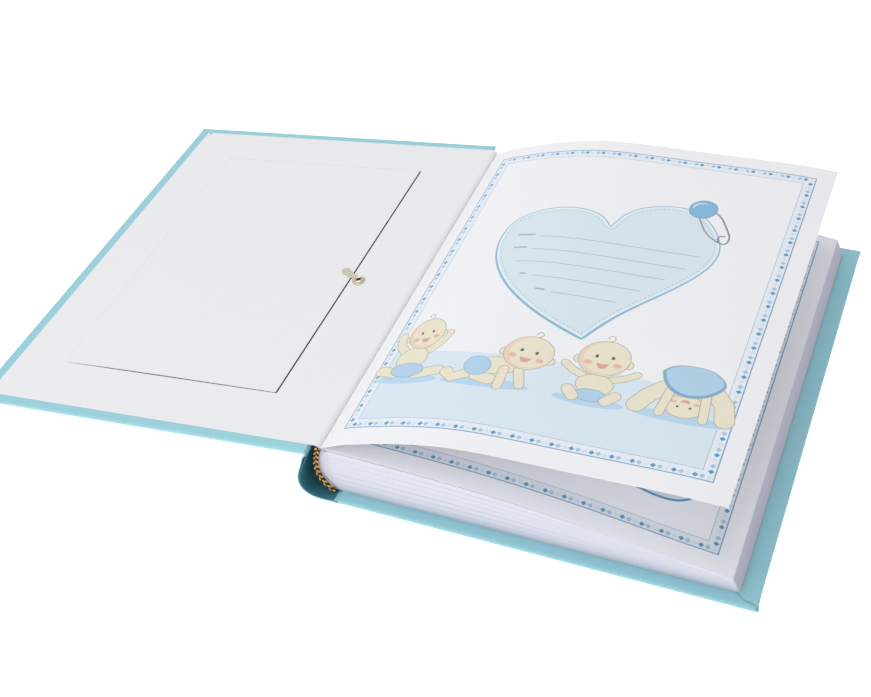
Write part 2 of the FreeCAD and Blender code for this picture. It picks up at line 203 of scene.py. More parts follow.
def mesh_piece(name, points, faces, materials, uvs=None, kinds=None, sharp=35, turn_out=True):
    """One piece from millimetre points. uvs holds one (u, v) in millimetres for each point."""
    mesh = bpy.data.meshes.new(name)
    mesh.from_pydata([Vector(point) * MM for point in points], [], faces)
    for material in materials:
        mesh.materials.append(material)
    if kinds:
        mesh.polygons.foreach_set("material_index", kinds)
    layer = mesh.uv_layers.new(name="surface")
    for loop in mesh.loops:
        index = loop.vertex_index
        at = uvs[index] if uvs else (points[index][0], points[index][1])
        layer.data[loop.index].uv = (at[0] * MM, at[1] * MM)
    if turn_out:
        work = bmesh.new()
        work.from_mesh(mesh)
        bmesh.ops.recalc_face_normals(work, faces=work.faces)
        work.to_mesh(mesh)
        work.free()
    for polygon in mesh.polygons:
        polygon.use_smooth = True
    mesh.set_sharp_from_angle(angle=math.radians(sharp))
    mesh.validate()
    piece = bpy.data.objects.new(name, mesh)
    bpy.context.scene.collection.objects.link(piece)
    return piece


class Build:
    """Collects the points and faces of one mesh."""

    def __init__(self):
        self.points = []
        self.uvs = []
        self.faces = []
        self.kinds = []

    def tube(self, rings, uvs, kind=0, capped=True):
        """Closed rings of equal size, joined one to the next. A cap pairs a ring's two halves."""
        base = len(self.points)
        size = len(rings[0])
        for ring, marks in zip(rings, uvs):
            self.points.extend(ring)
            self.uvs.extend(marks)
        for i in range(len(rings) - 1):
            for j in range(size):
                k = (j + 1) % size
                a, b = base + i * size, base + (i + 1) * size
                self.faces.append((a + j, b + j, b + k, a + k))
                self.kinds.append(kind)
        if capped:
            for start in (base, base + (len(rings) - 1) * size):
                for j in range(size // 2 - 1):
                    opposite = size - 1 - j
                    self.faces.append((start + j, start + j + 1, start + opposite - 1, start + opposite))
                    self.kinds.append(kind)

    def sheet(self, line, stations, ring, kind=0, lift=None):
        """A sheet along a line: ring holds (offset to the left, y), and lift moves a point up."""
        rings, uvs = [], []
        for s in stations:
            middle, left = line.at(s), line.left(s)
            points = []
            for offset, y in ring:
                point = middle + left * offset
                up = lift(s, y) if lift else 0.0
                points.append(Vector((point.x, y, point.y + up)))
            rings.append(points)
            uvs.append([(s, y) for offset, y in ring])
        self.tube(rings, uvs, kind)

    def plate(self, outline, holes, low, high, kind=0):
        """A flat plate in plan, between two heights, with its holes."""
        loops = [outline, *holes]
        verts, edges = [], []
        for loop in loops:
            base = len(verts)
            verts.extend(Vector(point) for point in loop)
            edges.extend((base + i, base + (i + 1) % len(loop)) for i in range(len(loop)))
        flat, _, triangles, _, _, _ = delaunay_2d_cdt(verts, edges, [], 0, 1e-5)
        flat_faces = []
        for face in triangles:
            centre = sum((flat[index] for index in face), Vector((0, 0))) / len(face)
            if inside(centre, outline) and not any(inside(centre, hole) for hole in holes):
                flat_faces.append(face)
        base, count = len(self.points), len(flat)
        for height in (high, low):
            self.points.extend(Vector((point.x, point.y, height)) for point in flat)
            self.uvs.extend((point.x, point.y) for point in flat)
        uses = {}
        for face in flat_faces:
            self.faces.append(tuple(base + i for i in face))
            self.faces.append(tuple(base + count + i for i in reversed(face)))
            self.kinds.extend((kind, kind))
            for a, b in zip(face, [*face[1:], face[0]]):
                uses[(a, b)] = True
        for a, b in uses:
            if (b, a) not in uses:
                self.faces.append((base + b, base + a, base + count + a, base + count + b))
                self.kinds.append(kind)

    def lathe(self, section, centre, steps=40, kind=0):
        """A closed section of (radius, height) points turned about an upright axis."""
        rings = []
        for step in range(steps):
            turn = 2 * math.pi * step / steps
            ring = []
            for radius, height in section:
                x = centre[0] + radius * math.cos(turn)
                y = centre[1] + radius * math.sin(turn)
                ring.append(Vector((x, y, height)))
            rings.append(ring)
        base = len(self.points)
        size = len(section)
        for ring in rings:
            self.points.extend(ring)
            self.uvs.extend((point.x, point.y) for point in ring)
        for i in range(steps):
            for j in range(size):
                k = (j + 1) % size
                a, b = base + i * size, base + (i + 1) % steps * size
                self.faces.append((a + j, b + j, b + k, a + k))
                self.kinds.append(kind)

    def moved(self, place):
        """Moves every point from a cover's frame to the row frame."""
        self.points = [place(*point) for point in self.points]
        return self

    def piece(self, name, materials, **more):
        """The finished piece."""
        return mesh_piece(name, self.points, self.faces, materials, self.uvs, self.kinds, **more)


def sheet_ring(half, thickness, across=16, rounded=False):
    """The ring of a sheet whose left face is the line itself: top from tail to head, then back under it."""
    top = [(0.0, y) for y in steps_between(-half, half, across)]
    if rounded:
        radius = thickness / 2
        top = [(0.0, y) for y in steps_between(-half + radius, half - radius, across)]
        ends = []
        for step in range(1, 5):
            turn = math.pi * step / 5
            ends.append((-radius + radius * math.cos(turn), half - radius + radius * math.sin(turn)))
        top = [(offset, -y) for offset, y in reversed(ends[:2])] + top + ends[:2]
    under = [(-thickness - offset, y) for offset, y in reversed(top)]
    return top + under


def rectangle(low_u, high_u, low_y, high_y):
    """The four corners of a rectangle, anticlockwise."""
    return [(low_u, low_y), (high_u, low_y), (high_u, high_y), (low_u, high_y)]


# ---- materials ----------------------------------------------------------------------------------------
def linear(code):
    """A colour written as #RRGGBB, in linear light."""
    values = []
    for start in (1, 3, 5):
        value = int(code[start:start + 2], 16) / 255
        values.append(value / 12.92 if value <= 0.04045 else ((value + 0.055) / 1.055) ** 2.4)
    return (*values, 1.0)


COVER_COLOUR = linear("#9AD2DD")
PAPER_COLOUR = linear("#F4F4F6")
# The leaves' card is greyer and more lavender than the page's white paper: painted shade for the edges of
# the block.
CARD_PAINTED_SHADE = linear("#DEDDEA")
# The second page is the same paper as the first, painted brighter and bluish: painted light standing in for
# the lavender tone of the shade under the first leaf.
SECOND_PAGE_PAINTED_LIGHT = linear("#F9F9FF")
ENDPAPER_COLOUR = linear("#EEEEEF")


class Shader:
    """A node material: its principled shader, and helpers that add textures to it."""

    def __init__(self, name, colour, roughness, metallic=0.0, specular=0.5):
        self.material = bpy.data.materials.new(name)
        self.material.use_nodes = True
        self.tree = self.material.node_tree
        self.surface = self.tree.nodes["Principled BSDF"]
        self.surface.inputs["Base Color"].default_value = colour
        self.surface.inputs["Roughness"].default_value = roughness
        self.surface.inputs["Metallic"].default_value = metallic
        self.surface.inputs["Specular IOR Level"].default_value = specular
        self.colour = colour
        self.height = None

    def node(self, kind, links=None, **values):
        """A node with input values by name, and links from other sockets."""
        node = self.tree.nodes.new(kind)
        for name, value in values.items():
            if hasattr(node, name):
                setattr(node, name, value)
            else:
                node.inputs[name.replace("_", " ")].default_value = value
        for name, socket in (links or {}).items():
            self.tree.links.new(socket, node.inputs[name])
        return node

    def where(self, output="UV", stretch=(1, 1, 1), turn=0.0):
        """Coordinates in metres, stretched and turned."""
        source = self.node("ShaderNodeTexCoord").outputs[output]
        mapping = self.node("ShaderNodeMapping", {"Vector": source}, Scale=stretch)
        mapping.inputs["Rotation"].default_value = (0, 0, turn)
        return mapping.outputs["Vector"]

    def noise(self, where, size_mm, detail=3.0):
        """Noise whose features are about size_mm across."""
        node = self.node("ShaderNodeTexNoise", {"Vector": where}, Scale=1 / (size_mm * MM), Detail=detail)
        return node.outputs["Fac"]

    def span(self, value, low, high):
        """A 0 to 1 value, mapped from low to high."""
        node = self.node("ShaderNodeMapRange", {"Value": value})
        node.inputs["To Min"].default_value = low
        node.inputs["To Max"].default_value = high
        return node.outputs["Result"]

    def maths(self, operation, a, b):
        """One maths operation on two sockets, or on a socket and a number."""
        node = self.node("ShaderNodeMath", operation=operation)
        for index, value in enumerate((a, b)):
            if isinstance(value, (int, float)):
                node.inputs[index].default_value = value
            else:
                self.tree.links.new(value, node.inputs[index])
        return node.outputs[0]

    def mix(self, amount, a, b):
        """A colour between a and b."""
        node = self.node("ShaderNodeMix", data_type="RGBA")
        self.tree.links.new(amount, node.inputs[0])
        node.inputs[6].default_value = a
        node.inputs[7].default_value = b
        return node.outputs[2]

    def set(self, name, socket):
        """Drives one input of the surface."""
        self.tree.links.new(socket, self.surface.inputs[name])
        return self

    def bump(self, height, depth_mm, strength=1.0):
        """Relief from a 0 to 1 height."""
        links = {"Height": height}
        if self.height:
            links["Normal"] = self.height
        node = self.node("ShaderNodeBump", links, Strength=strength)
        node.inputs["Distance"].default_value = depth_mm * MM
        self.height = node.outputs["Normal"]
        return self.set("Normal", self.height)


def paper_like(name, colour, roughness=0.58, fibre=0.012, spread=0.05, specular=0.35):
    """Smooth paper or card: fibres in its relief and small changes in its gloss."""
    shader = Shader(name, colour, roughness, specular=specular)
    where = shader.where()
    grain = shader.noise(where, 0.45, 6.0)
    shader.set("Roughness", shader.span(shader.noise(where, 9.0), roughness - spread, roughness + spread))
    shader.bump(grain, fibre)
    return shader


def build_materials():
    """Every material of the album, by name."""
    made = {}

    cloth = Shader("covering_paper", COVER_COLOUR, 0.42, specular=0.45)
    where = cloth.where()
    along = cloth.noise(cloth.where(stretch=(1, 0.18, 1)), 0.28, 4.0)
    across = cloth.noise(cloth.where(stretch=(0.18, 1, 1)), 0.28, 4.0)
    weave = cloth.maths("ADD", along, across)
    cloth.set("Roughness", cloth.span(cloth.noise(where, 6.0), 0.37, 0.47))
    cloth.bump(weave, 0.012).bump(cloth.noise(where, 22.0, 2.0), 0.12)
    made["covering"] = cloth.material

    # The covering turned in inside the spine is a darker teal than the covering itself: painted shade for
    # the hollow.
    painted_shade_cover = paper_like("turned_in_covering_painted_shade", linear("#3B7E8E"), 0.5, 0.02)
    made["covering_inside"] = painted_shade_cover.material

    ends = paper_like("endpaper_white", ENDPAPER_COLOUR, 0.55, 0.014)
    ends.bump(ends.noise(ends.where(), 45.0, 1.5), 0.25)
    made["endpaper"] = ends.material
    made["page"] = paper_like("page_white", PAPER_COLOUR, 0.5, 0.008).material
    # The second page's material carries that painted light tint.
    made["second_page"] = paper_like("page_two_painted_light", SECOND_PAGE_PAINTED_LIGHT, 0.5, 0.008).material
    made["card"] = paper_like("leaf_card_painted_shade", CARD_PAINTED_SHADE, 0.62, 0.02).material

    board = Shader("grey_board_pressed", linear("#77746E"), 0.9, specular=0.2)
    flecks = board.noise(board.where("Object"), 0.6, 8.0)
    board.set("Base Color", board.mix(flecks, linear("#6A675F"), linear("#86837C")))
    board.bump(flecks, 0.05)
    made["board"] = board.material

    mull = Shader("mull_weave", linear("#E6E4EA"), 0.9, specular=0.2)
    where = mull.where("Object")
    for direction in ("Y", "Z"):
        wave = mull.node("ShaderNodeTexWave", {"Vector": where}, Scale=160.0, Distortion=0.6)
        wave.bands_direction = direction
        mull.bump(wave.outputs["Fac"], 0.06)
    made["mull"] = mull.material

    for name, code, rough in (("gold", "#F0B048", 0.4), ("black", "#120C09", 0.6)):
        thread = Shader(f"headband_{name}", linear(code), rough, specular=0.5)
        where = thread.where()
        strands = thread.node("ShaderNodeTexWave", {"Vector": where}, Scale=900.0, Distortion=1.5)
        thread.bump(strands.outputs["Fac"], 0.05)
        thread.set("Roughness", thread.span(thread.noise(where, 0.7), rough - 0.1, rough + 0.1))
        made[name] = thread.material

    for name, code, rough in (("button", "#EEE9CF", 0.36), ("rivet", "#EFE8CF", 0.24)):
        metal = Shader(f"{name}_metal", linear(code), rough, metallic=1.0)
        scratch = metal.noise(metal.where("Object", stretch=(1, 0.06, 1), turn=0.6), 0.12, 4.0)
        wear = metal.noise(metal.where("Object"), 1.6, 4.0)
        metal.set("Roughness", metal.span(wear, rough - 0.07, rough + 0.14))
        metal.bump(scratch, 0.002)
        made[name] = metal.material

    film = Shader("window_film_clear", (0.96, 0.98, 0.99, 1), 0.06)
    film.surface.inputs["Transmission Weight"].default_value = 1.0
    film.surface.inputs["IOR"].default_value = 1.3
    film.bump(film.noise(film.where("Object"), 18.0), 0.08)
    film.set("Roughness", film.span(film.noise(film.where("Object"), 5.0), 0.04, 0.1))
    made["film"] = film.material
    return made


MATERIALS = build_materials()


# ---- case ---------------------------------------------------------------------------------------------
PAPER_LIFT = 0.16
COVERING_TOP = -0.03
EDGE_RADIUS = 0.95
CORNER_RADIUS = 1.7
TURNED_UNDER = 14.0
EDGE_STEPS = 48
TURNED_PAPER = 0.28
# How far the board's hinge end is set back at the tail, and how far from the hinge that is felt.
HINGE_SET_BACK = 3.4
HINGE_REACH = 14.0
# The covering over the front joint stops this far from the tail and the head.
JOINT_SHORT = 8.5


def set_back(build):
    """The front board lies a little askew under its endpaper: its hinge end is set back at the tail."""
    placed = []
    for point in build.points:
        u, y, w = point
        near = max(0.0, 1 - max(u, 0.0) / HINGE_REACH)
        placed.append((u + HINGE_SET_BACK * (0.5 - y / HALF_COVER / 2) * near, y, w))
    build.points = placed


def cover_outline(width, half, inset):
    """Three sides of a cover, from its hinge end along the tail, the fore edge and the head."""
    corner = max(CORNER_RADIUS, inset + 0.2)
    radius = corner - inset
    end, side = width - corner, half - corner
    points = [(u, -half + inset) for u in steps_between(0, end, EDGE_STEPS)[:-1]]
    for turn in steps_between(-90, 0, 6):
        angle = math.radians(turn)
        points.append((end + radius * math.cos(angle), -side + radius * math.sin(angle)))
    points += [(width - inset, y) for y in steps_between(-side, side, EDGE_STEPS)[1:-1]]
    for turn in steps_between(0, 90, 6):
        angle = math.radians(turn)
        points.append((end + radius * math.cos(angle), side + radius * math.sin(angle)))
    points += [(u, half - inset) for u in steps_between(end, 0, EDGE_STEPS)[1:]]
    return points


def covering_section():
    """The covering round a board's edge as a closed ring of (inset, w): outside first, then inside."""
    sides = []
    for skin in (0.0, SKIN * 0.85):
        radius = EDGE_RADIUS - skin
        top, low = COVERING_TOP - skin, -THICK + skin
        side = [(TURNED_UNDER, top), (6.0, top), (EDGE_RADIUS + 0.4, top)]
        for step in range(6):
            turn = math.radians(18 * step)
            side.append((EDGE_RADIUS - radius * math.sin(turn), top - radius + radius * math.cos(turn)))
        for step in range(6):
            turn = math.radians(18 * step)
            side.append((EDGE_RADIUS - radius * math.cos(turn), low + radius - radius * math.sin(turn)))
        side += [(EDGE_RADIUS + 0.4, low), (TURNED_UNDER, low)]
        sides.append(side)
    return sides[0] + sides[1][::-1]


def covered(cover, name, body, window=None):
    """The covering of one board: its edges and turn-ins, and the panel on its outside."""
    build = Build()
    rings, uvs = [], []
    section = covering_section()
    outlines = [cover_outline(cover.width, HALF_COVER, inset) for inset, w in section]
    for index in range(len(outlines[0])):
        ring, marks = [], []
        run = 0.0
        for place, (inset, w) in enumerate(section):
            u, y = outlines[place][index]
            if place:
                before = section[place - 1]
                run += math.hypot(inset - before[0], w - before[1])
            ring.append((u, y, w))
            marks.append((u + run * 0.7, y + run * 0.7))
        rings.append(ring)
        uvs.append(marks)
    build.tube(rings, uvs)
    inner = TURNED_UNDER - 0.05
    panel = rectangle(0, cover.width - inner, -HALF_COVER + inner, HALF_COVER - inner)
    holes = [window] if window else []
    build.plate(panel, holes, -THICK, -THICK + SKIN)
    if cover is FRONT:
        set_back(build)
    piece = build.moved(cover.place).piece(name, [MATERIALS["covering"]])
    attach(piece, body)
    return piece


def flat_piece(cover, name, body, material, outline, holes, low, high, bevel=0.0):
    """A flat plate on a cover, with softened edges when a bevel is given."""
    build = Build()
    build.plate(outline, holes, low, high)
    if cover is FRONT and name == "front_board_slab":
        set_back(build)
    piece = build.moved(cover.place).piece(name, [material])
    if bevel:
        soft = piece.modifiers.new("soft_edges", "BEVEL")
        soft.width = bevel * MM
        soft.segments = 2
        soft.limit_method = "ANGLE"
    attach(piece, body)
    return piece


def build_case():
    """Both covers: boards, coverings, endpapers, and the photo pocket with its flap."""
    board_in = 0.45
    low, high = -THICK + SKIN + 0.02, COVERING_TOP - SKIN
    opening_low, opening_high = FRONT.span("window_mat")
    opening = rectangle(opening_low.x, opening_high.x, opening_low.y, opening_high.y)
    rim = 12.0
    window = rectangle(opening_low.x + rim, opening_high.x - rim, opening_low.y + rim, opening_high.y - rim)
    edge = HALF_COVER - board_in

    for cover, side, holes in ((BACK, "back", []), (FRONT, "front", [opening])):
        outline = rectangle(0.2, cover.width - board_in, -edge, edge)
        board = flat_piece(
            cover, f"{side}_board_slab", f"{side}_cover", MATERIALS["board"],
            outline, holes, low, high
        )
        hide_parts(f"{side}_board")
        shell = covered(cover, f"{side}_covering_turned_in", f"{side}_cover", window if holes else None)
        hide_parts(f"{side}_covering")
        paper_low, paper_high = cover.span(f"{side}_pastedown")
        hidden = 0.8 if cover is BACK else 0.0
        paper = rectangle(0.0, paper_high.x, paper_low.y + hidden, paper_high.y - hidden)
        endpaper = flat_piece(
            cover, f"{side}_endpaper", f"{side}_cover", MATERIALS["endpaper"],
            paper, holes, COVERING_TOP, PAPER_LIFT, bevel=0.05
        )
        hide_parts(f"{side}_pastedown")

    flap_low, flap_high = FRONT.span("flap_board")
    outline = rectangle(flap_low.x + 0.3, flap_high.x - 0.4, flap_low.y + 0.3, flap_high.y - 0.3)
    board = flat_piece(
        FRONT, "flap_board_slab", "window_flap", MATERIALS["board"], outline, [],
        flap_low.z, PAPER_LIFT - SKIN, bevel=0.15
    )
    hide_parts("flap_board")
    facing = Build()
    line = Line([(0, PAPER_LIFT), (opening_high.x - flap_low.x, PAPER_LIFT)])
    ring_half = (flap_high.y - flap_low.y) / 2
    ring = sheet_ring(ring_half, SKIN, 24)
    middle = (flap_high.y + flap_low.y) / 2

    def crease(s, y):
        """The facing is pressed in a little along its crease."""
        from_crease = line.length - s
        return -0.14 * math.exp(-((from_crease / 0.9) ** 2))

    stations = steps_between(0, line.length - 4, 24) + steps_between(line.length - 3.6, line.length, 12)
    facing.sheet(line, stations, ring, lift=crease)
    placed = []
    for point in facing.points:
        along = point.x / line.length
        if point.y > 0:
            y = opening_high.y - 0.15 - (ring_half - point.y)
        else:
            closing = max(0.4 - 0.8 * along, 0) + 0.9 * along ** 6
            y = point.y + middle - (flap_low.y - opening_low.y) * closing
        placed.append((point.x + flap_low.x + 0.3 * (1 - along), y, point.z))
    facing.points = placed
    piece = facing.moved(FRONT.place).piece("flap_facing_paper", [MATERIALS["endpaper"]])
    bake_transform(piece)
    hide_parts("flap_facing")

    for node, name in (("window_mat", "board"), ("window_film", "film")):
        materials = frame["nodes"][node].data.materials
        materials.clear()
        materials.append(MATERIALS[name])


def build_corner_folds():
    """At each outer corner the fore edge's turn-in laps over the one beside it, with an S-shaped edge."""
    seam = [(14.0, 6.7), (11.2, 6.5), (9.4, 5.4), (7.7, 3.7), (5.6, 3.1)]
    seam += [(3.5, 2.9), (2.0, 2.3), (0.8, 1.4), (0.0, 1.0)]
    rises = [(BACK, "back", -1, 0.9), (BACK, "back", 1, 0.4)]
    rises += [(FRONT, "front", -1, 0.3), (FRONT, "front", 1, 0.3)]
    section = covering_section()
    outside = section[: len(section) // 2][1:-1]
    reach_back = 26.0

    def seam_y(inset):
        """Where the lap ends, by the distance from the fore edge."""
        for a, b in zip(seam, seam[1:]):
            if b[0] <= inset <= a[0]:
                return a[1] + (b[1] - a[1]) * (a[0] - inset) / (a[0] - b[0]) - HALF_COVER
        return seam[-1][1] - HALF_COVER

    top = [(11.6 - 0.6 * step, COVERING_TOP) for step in range(18)]
    around = top + [point for point in outside if point[0] <= EDGE_RADIUS + 0.1]
    for cover, side, end, rise in rises:
        rings, uvs = [], []
        for step in range(21):
            share = (step / 20) ** 0.7
            lift = -0.06 + (rise + 0.06) * share ** 5
            outer, inner, marks = [], [], []
            for index, point in enumerate(around):
                before = Vector(around[max(index - 1, 0)])
                after = Vector(around[min(index + 1, len(around) - 1)])
                along = (after - before).normalized()
                normal = Vector((along.y, -along.x))
                if normal.dot(Vector(point) - Vector((6.0, -THICK / 2))) < 0:
                    normal = -normal
                y_end = seam_y(point[0]) + HALF_COVER
                y = -HALF_COVER + reach_back + (y_end - reach_back) * share
                for store, height in ((outer, lift), (inner, lift - 0.24)):
                    place = Vector(point) + normal * height
                    store.append((cover.width - place.x, -end * y if end > 0 else y, place.y))
                marks.append((point[0] + point[1], y))
            rings.append(outer + inner[::-1])
            uvs.append(marks + marks[::-1])
        build = Build()
        build.tube(rings, uvs)
        name = "tail" if end < 0 else "head"
        build.moved(cover.place)
        piece = build.piece(f"{side}_corner_lap_{name}", [MATERIALS["covering"]], sharp=50)
        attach(piece, f"{side}_cover")


def build_spine():
    """The hollow spine, whose covering runs on under the back joint."""
    shape = [(-9.3, 35.35), (-10.6, 34.3), (-13.9, 26.9), (-17.5, 16.4), (-18.0, 9.4), (-16.4, 4.9)]
    shape += [(-12.2, 1.4), (-7.0, 0.1), (-1.0, 0.0), (6.5, 0.0)]
    line = Line(spline(shape, 8)[::-1])
    stations = steps_between(0, line.length, 64)
    build = Build()
    ring = sheet_ring(HALF_COVER, 0.62, 30, rounded=True)
    build.sheet(line, stations, ring)
    piece = build.piece("spine_covering_sheet", [MATERIALS["covering"]], sharp=60)
    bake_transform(piece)
    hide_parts("spine_covering")


def build_front_joint():
    """The paper in the gutter, the covering round the board's hinge end and the fold over the joint."""
    end = FRONT.place(2.2, 0, PAPER_LIFT)
    gutter = [(end.x, end.z), (-6.6, 38.98), (-4.8, 38.95), (-3.5, 38.3), (-3.0, 37.3), (-3.15, 36.1)]
    line = Line(spline(gutter, 8))
    build = Build()
    build.sheet(line, steps_between(0, line.length, 30), sheet_ring(HALF_COVER - TURN_IN, SKIN, 30))
    piece = build.piece("front_gutter_paper", [MATERIALS["endpaper"]])
    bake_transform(piece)
    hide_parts("front_joint_strip")

    build = Build()
    nose = []
    middle, half_height = (COVERING_TOP - THICK) / 2, (COVERING_TOP + THICK) / 2
    for turn in steps_between(90, 270, 14):
        angle = math.radians(turn)
        nose.append((0.25 + 0.95 * math.cos(angle), middle + half_height * math.sin(angle)))
    rings, uvs = [], []
    for y in steps_between(-HALF_COVER + 0.1, HALF_COVER - 0.1, 30):
        rings.append([(u, y, w) for u, w in nose])
        uvs.append([(u + w, y) for u, w in nose])
    build.tube(rings, uvs)
    set_back(build)
    piece = build.moved(FRONT.place).piece("front_covering_nose", [MATERIALS["covering"]], sharp=60)
    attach(piece, "front_cover")

    near = FRONT.place(0.0, 0, -THICK)
    fold = [(-9.9, 34.85), (-7.6, near.z - 0.75), (-6.2, near.z - 0.62)]
    fold += [(-5.75, near.z - 0.3), (-6.2, near.z - 0.02)]
    line = Line(spline(fold, 8))
    build = Build()
    half = HALF_COVER - JOINT_SHORT
    build.sheet(line, steps_between(0, line.length, 24), sheet_ring(half, TURNED_PAPER, 30, rounded=True))
    piece = build.piece("front_joint_covering", [MATERIALS["covering"]], sharp=60)
    start, end = Vector((near.x - 2.2, 0, near.z - 0.9)), Vector((near.x + 0.4, 0, near.z))
    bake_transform(piece)


def build_back_turn_in():
    """The covering that slopes from the back board down to the joint."""
    ramp = [(9.0, THICK - 0.22), (6.2, THICK - 0.25), (4.4, THICK - 0.8)]
    ramp += [(2.0, 1.3), (-1.5, 0.85), (-5.0, 0.75)]
    line = Line(spline(ramp, 8)[::-1])
    build = Build()
    ring = sheet_ring(HALF_COVER - 0.2, TURNED_PAPER, 30, rounded=True)
    build.sheet(line, steps_between(0, line.length, 24), ring)
    piece = build.piece("back_joint_turn_in", [MATERIALS["covering"]], sharp=60)
    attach(piece, "back_cover")


def build_spine_lining():
    """The covering turned in over the card at both ends of the spine, in a darker teal that is painted
    shade.
    """
    inner = [(-9.0, 33.9), (-12.3, 26.4), (-15.9, 16.2), (-16.4, 9.6), (-15.0, 5.6)]
    inner += [(-11.6, 2.7), (-7.6, 1.4), (-4.0, 1.1), (-0.5, 1.3), (2.4, 1.85)]
    line = Line(spline(inner, 8))
    depth = 22.0
    for end, sense in (("tail", -1), ("head", 1)):
        build = Build()
        build.sheet(line, steps_between(0, line.length, 40), sheet_ring(depth / 2, 0.3, 8, rounded=True))
        shift = sense * (HALF_COVER - depth / 2 - 0.15)
        build.points = [(point.x, point.y + shift, point.z) for point in build.points]
        piece = build.piece(f"spine_turn_in_{end}", [MATERIALS["covering_inside"]], sharp=60)
        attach(piece, "text_block")


# ---- hardware -----------------------------------------------------------------------------------------
BUTTON_HOLE = 1.56
# The button's tip lies over the flap: degrees from the cover's width, about the rivet.
BUTTON_HEADING = 30


def build_button():
    """The turn button on its washer and tubular rivet."""
    axis = JOINTS["turn_button_spin"]["pos_m"]
    base = Vector((FRONT.origin.dot(FRONT_ALONG), FRONT.origin.dot(FRONT_UP)))
    rivet_u = (axis[0] * FRONT_ALONG.x + axis[2] * FRONT_ALONG.y) / MM - base.x
    rivet_y = axis[1] / MM
    lift = PAPER_LIFT
    round_end, tip, waist, flare = 3.5, 16.8, 1.95, 2.55
    outline = []
    for turn in steps_between(48, 312, 26):
        angle = math.radians(turn)
        outline.append((round_end * math.cos(angle), round_end * math.sin(angle)))
    side = [(round_end * 0.7, 2.55), (4.2, waist + 0.1), (7.4, waist), (11.5, 2.25), (tip - 2.2, flare)]
    side = spline(side, 5)
    end = [(tip - 0.9, flare * 0.86), (tip - 0.2, flare * 0.5), (tip, 0)]
    upper = [(point[0], point[1]) for point in [*side[1:], *end]]
    lower = [(x, -y) for x, y in upper]
    outline += lower + upper[::-1][1:]
    hole = []
    for turn in steps_between(0, 345, 23):
        angle = math.radians(turn)
        hole.append((BUTTON_HOLE * math.cos(angle), BUTTON_HOLE * math.sin(angle)))
    heading = math.radians(BUTTON_HEADING)

    def turned(x, y):
        """A point of the button, swung about its rivet on the cover."""
        u = x * math.cos(heading) - y * math.sin(heading)
        v = x * math.sin(heading) + y * math.cos(heading)
        return (rivet_u + u, rivet_y + v)

    washer_top = 0.35 + lift
    low = washer_top + 0.06
    build = Build()
    plate_top = low + 0.7
    outline = [turned(*point) for point in outline]
    hole = [turned(*point) for point in hole]
    build.plate(outline, [hole], low, plate_top)
    piece = build.moved(FRONT.place).piece("turn_button_plate", [MATERIALS["button"]])
    soft = piece.modifiers.new("soft_edges", "BEVEL")
    soft.width = 0.22 * MM
    soft.segments = 3
    soft.limit_method = "ANGLE"
    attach(piece, "turn_button")
    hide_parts("turn_button")

    washer = [(1.6, lift), (4.0, lift), (4.25, lift + 0.1)]
    washer += [(4.15, washer_top - 0.03), (3.9, washer_top), (1.6, washer_top)]
    build = Build()
    build.lathe(washer, (rivet_u, rivet_y), 56)
    piece = build.moved(FRONT.place).piece("button_washer_disc", [MATERIALS["rivet"]], sharp=50)
    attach(piece, "front_cover")
    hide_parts("button_washer")

    head = plate_top + 0.05
    tube = [(1.25, -2.6), (1.55, -2.6), (1.55, head), (2.3, head)]
    tube += [(2.65, head + 0.12), (2.7, head + 0.34), (2.5, head + 0.52), (2.15, head + 0.6)]
    tube += [(1.85, head + 0.5), (1.62, head + 0.2), (1.5, head - 0.4)]
    # The rivet's hollow gets a floor in the headband's black material: painted shade inside the tube.
    painted_shade_floor = [(0.02, head - 0.5), (1.2, head - 0.55), (1.52, head - 0.4)]
    painted_shade_floor += [(1.4, head - 1.7), (0.02, head - 1.7)]
    build = Build()
    build.lathe(tube, (rivet_u, rivet_y), 56)
    build.lathe(painted_shade_floor, (rivet_u, rivet_y), 32, 1)
    materials = [MATERIALS["rivet"], MATERIALS["black"]]
    piece = build.moved(FRONT.place).piece("button_rivet_tube", materials, sharp=50)
    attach(piece, "front_cover")
    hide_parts("button_rivet")


# ---- the two printed leaves in section ----------------------------------------------------------------
# Each leaf's top as (x, z), from its stub to its fore edge.
FIRST_SHAPE = [
    (-2.9, 37), (3.5, 40.2), (10, 43.6), (21.6, 48), (32.6, 52), (42.2, 55), (54.6, 58.4),
    (68.8, 61.5), (92.2, 64), (126.5, 65.2), (155.5, 66.2), (177.8, 67), (201.5, 67.4), (219.4, 66.8),
]
SECOND_SHAPE = [
    (-3.2, 36), (9, 36.1), (19, 35.8), (36.6, 35.3), (52.9, 34.7),
    (84.2, 33.1), (125, 29), (154.6, 24.8), (192, 18.4), (224.4, 13.9),
]
FIRST_LINE = Line(spline(FIRST_SHAPE, 6))
SECOND_LINE = Line(spline(SECOND_SHAPE, 8))
FIRST_LENGTH = FIRST_LINE.length
SECOND_LENGTH = SECOND_LINE.length


# ---- block --------------------------------------------------------------------------------------------
HEADBAND_PATH = [(-4.1, 37.6), (-6.6, 28.5), (-7.4, 18.5), (-4.5, 9.5), (1.0, 3.4)]


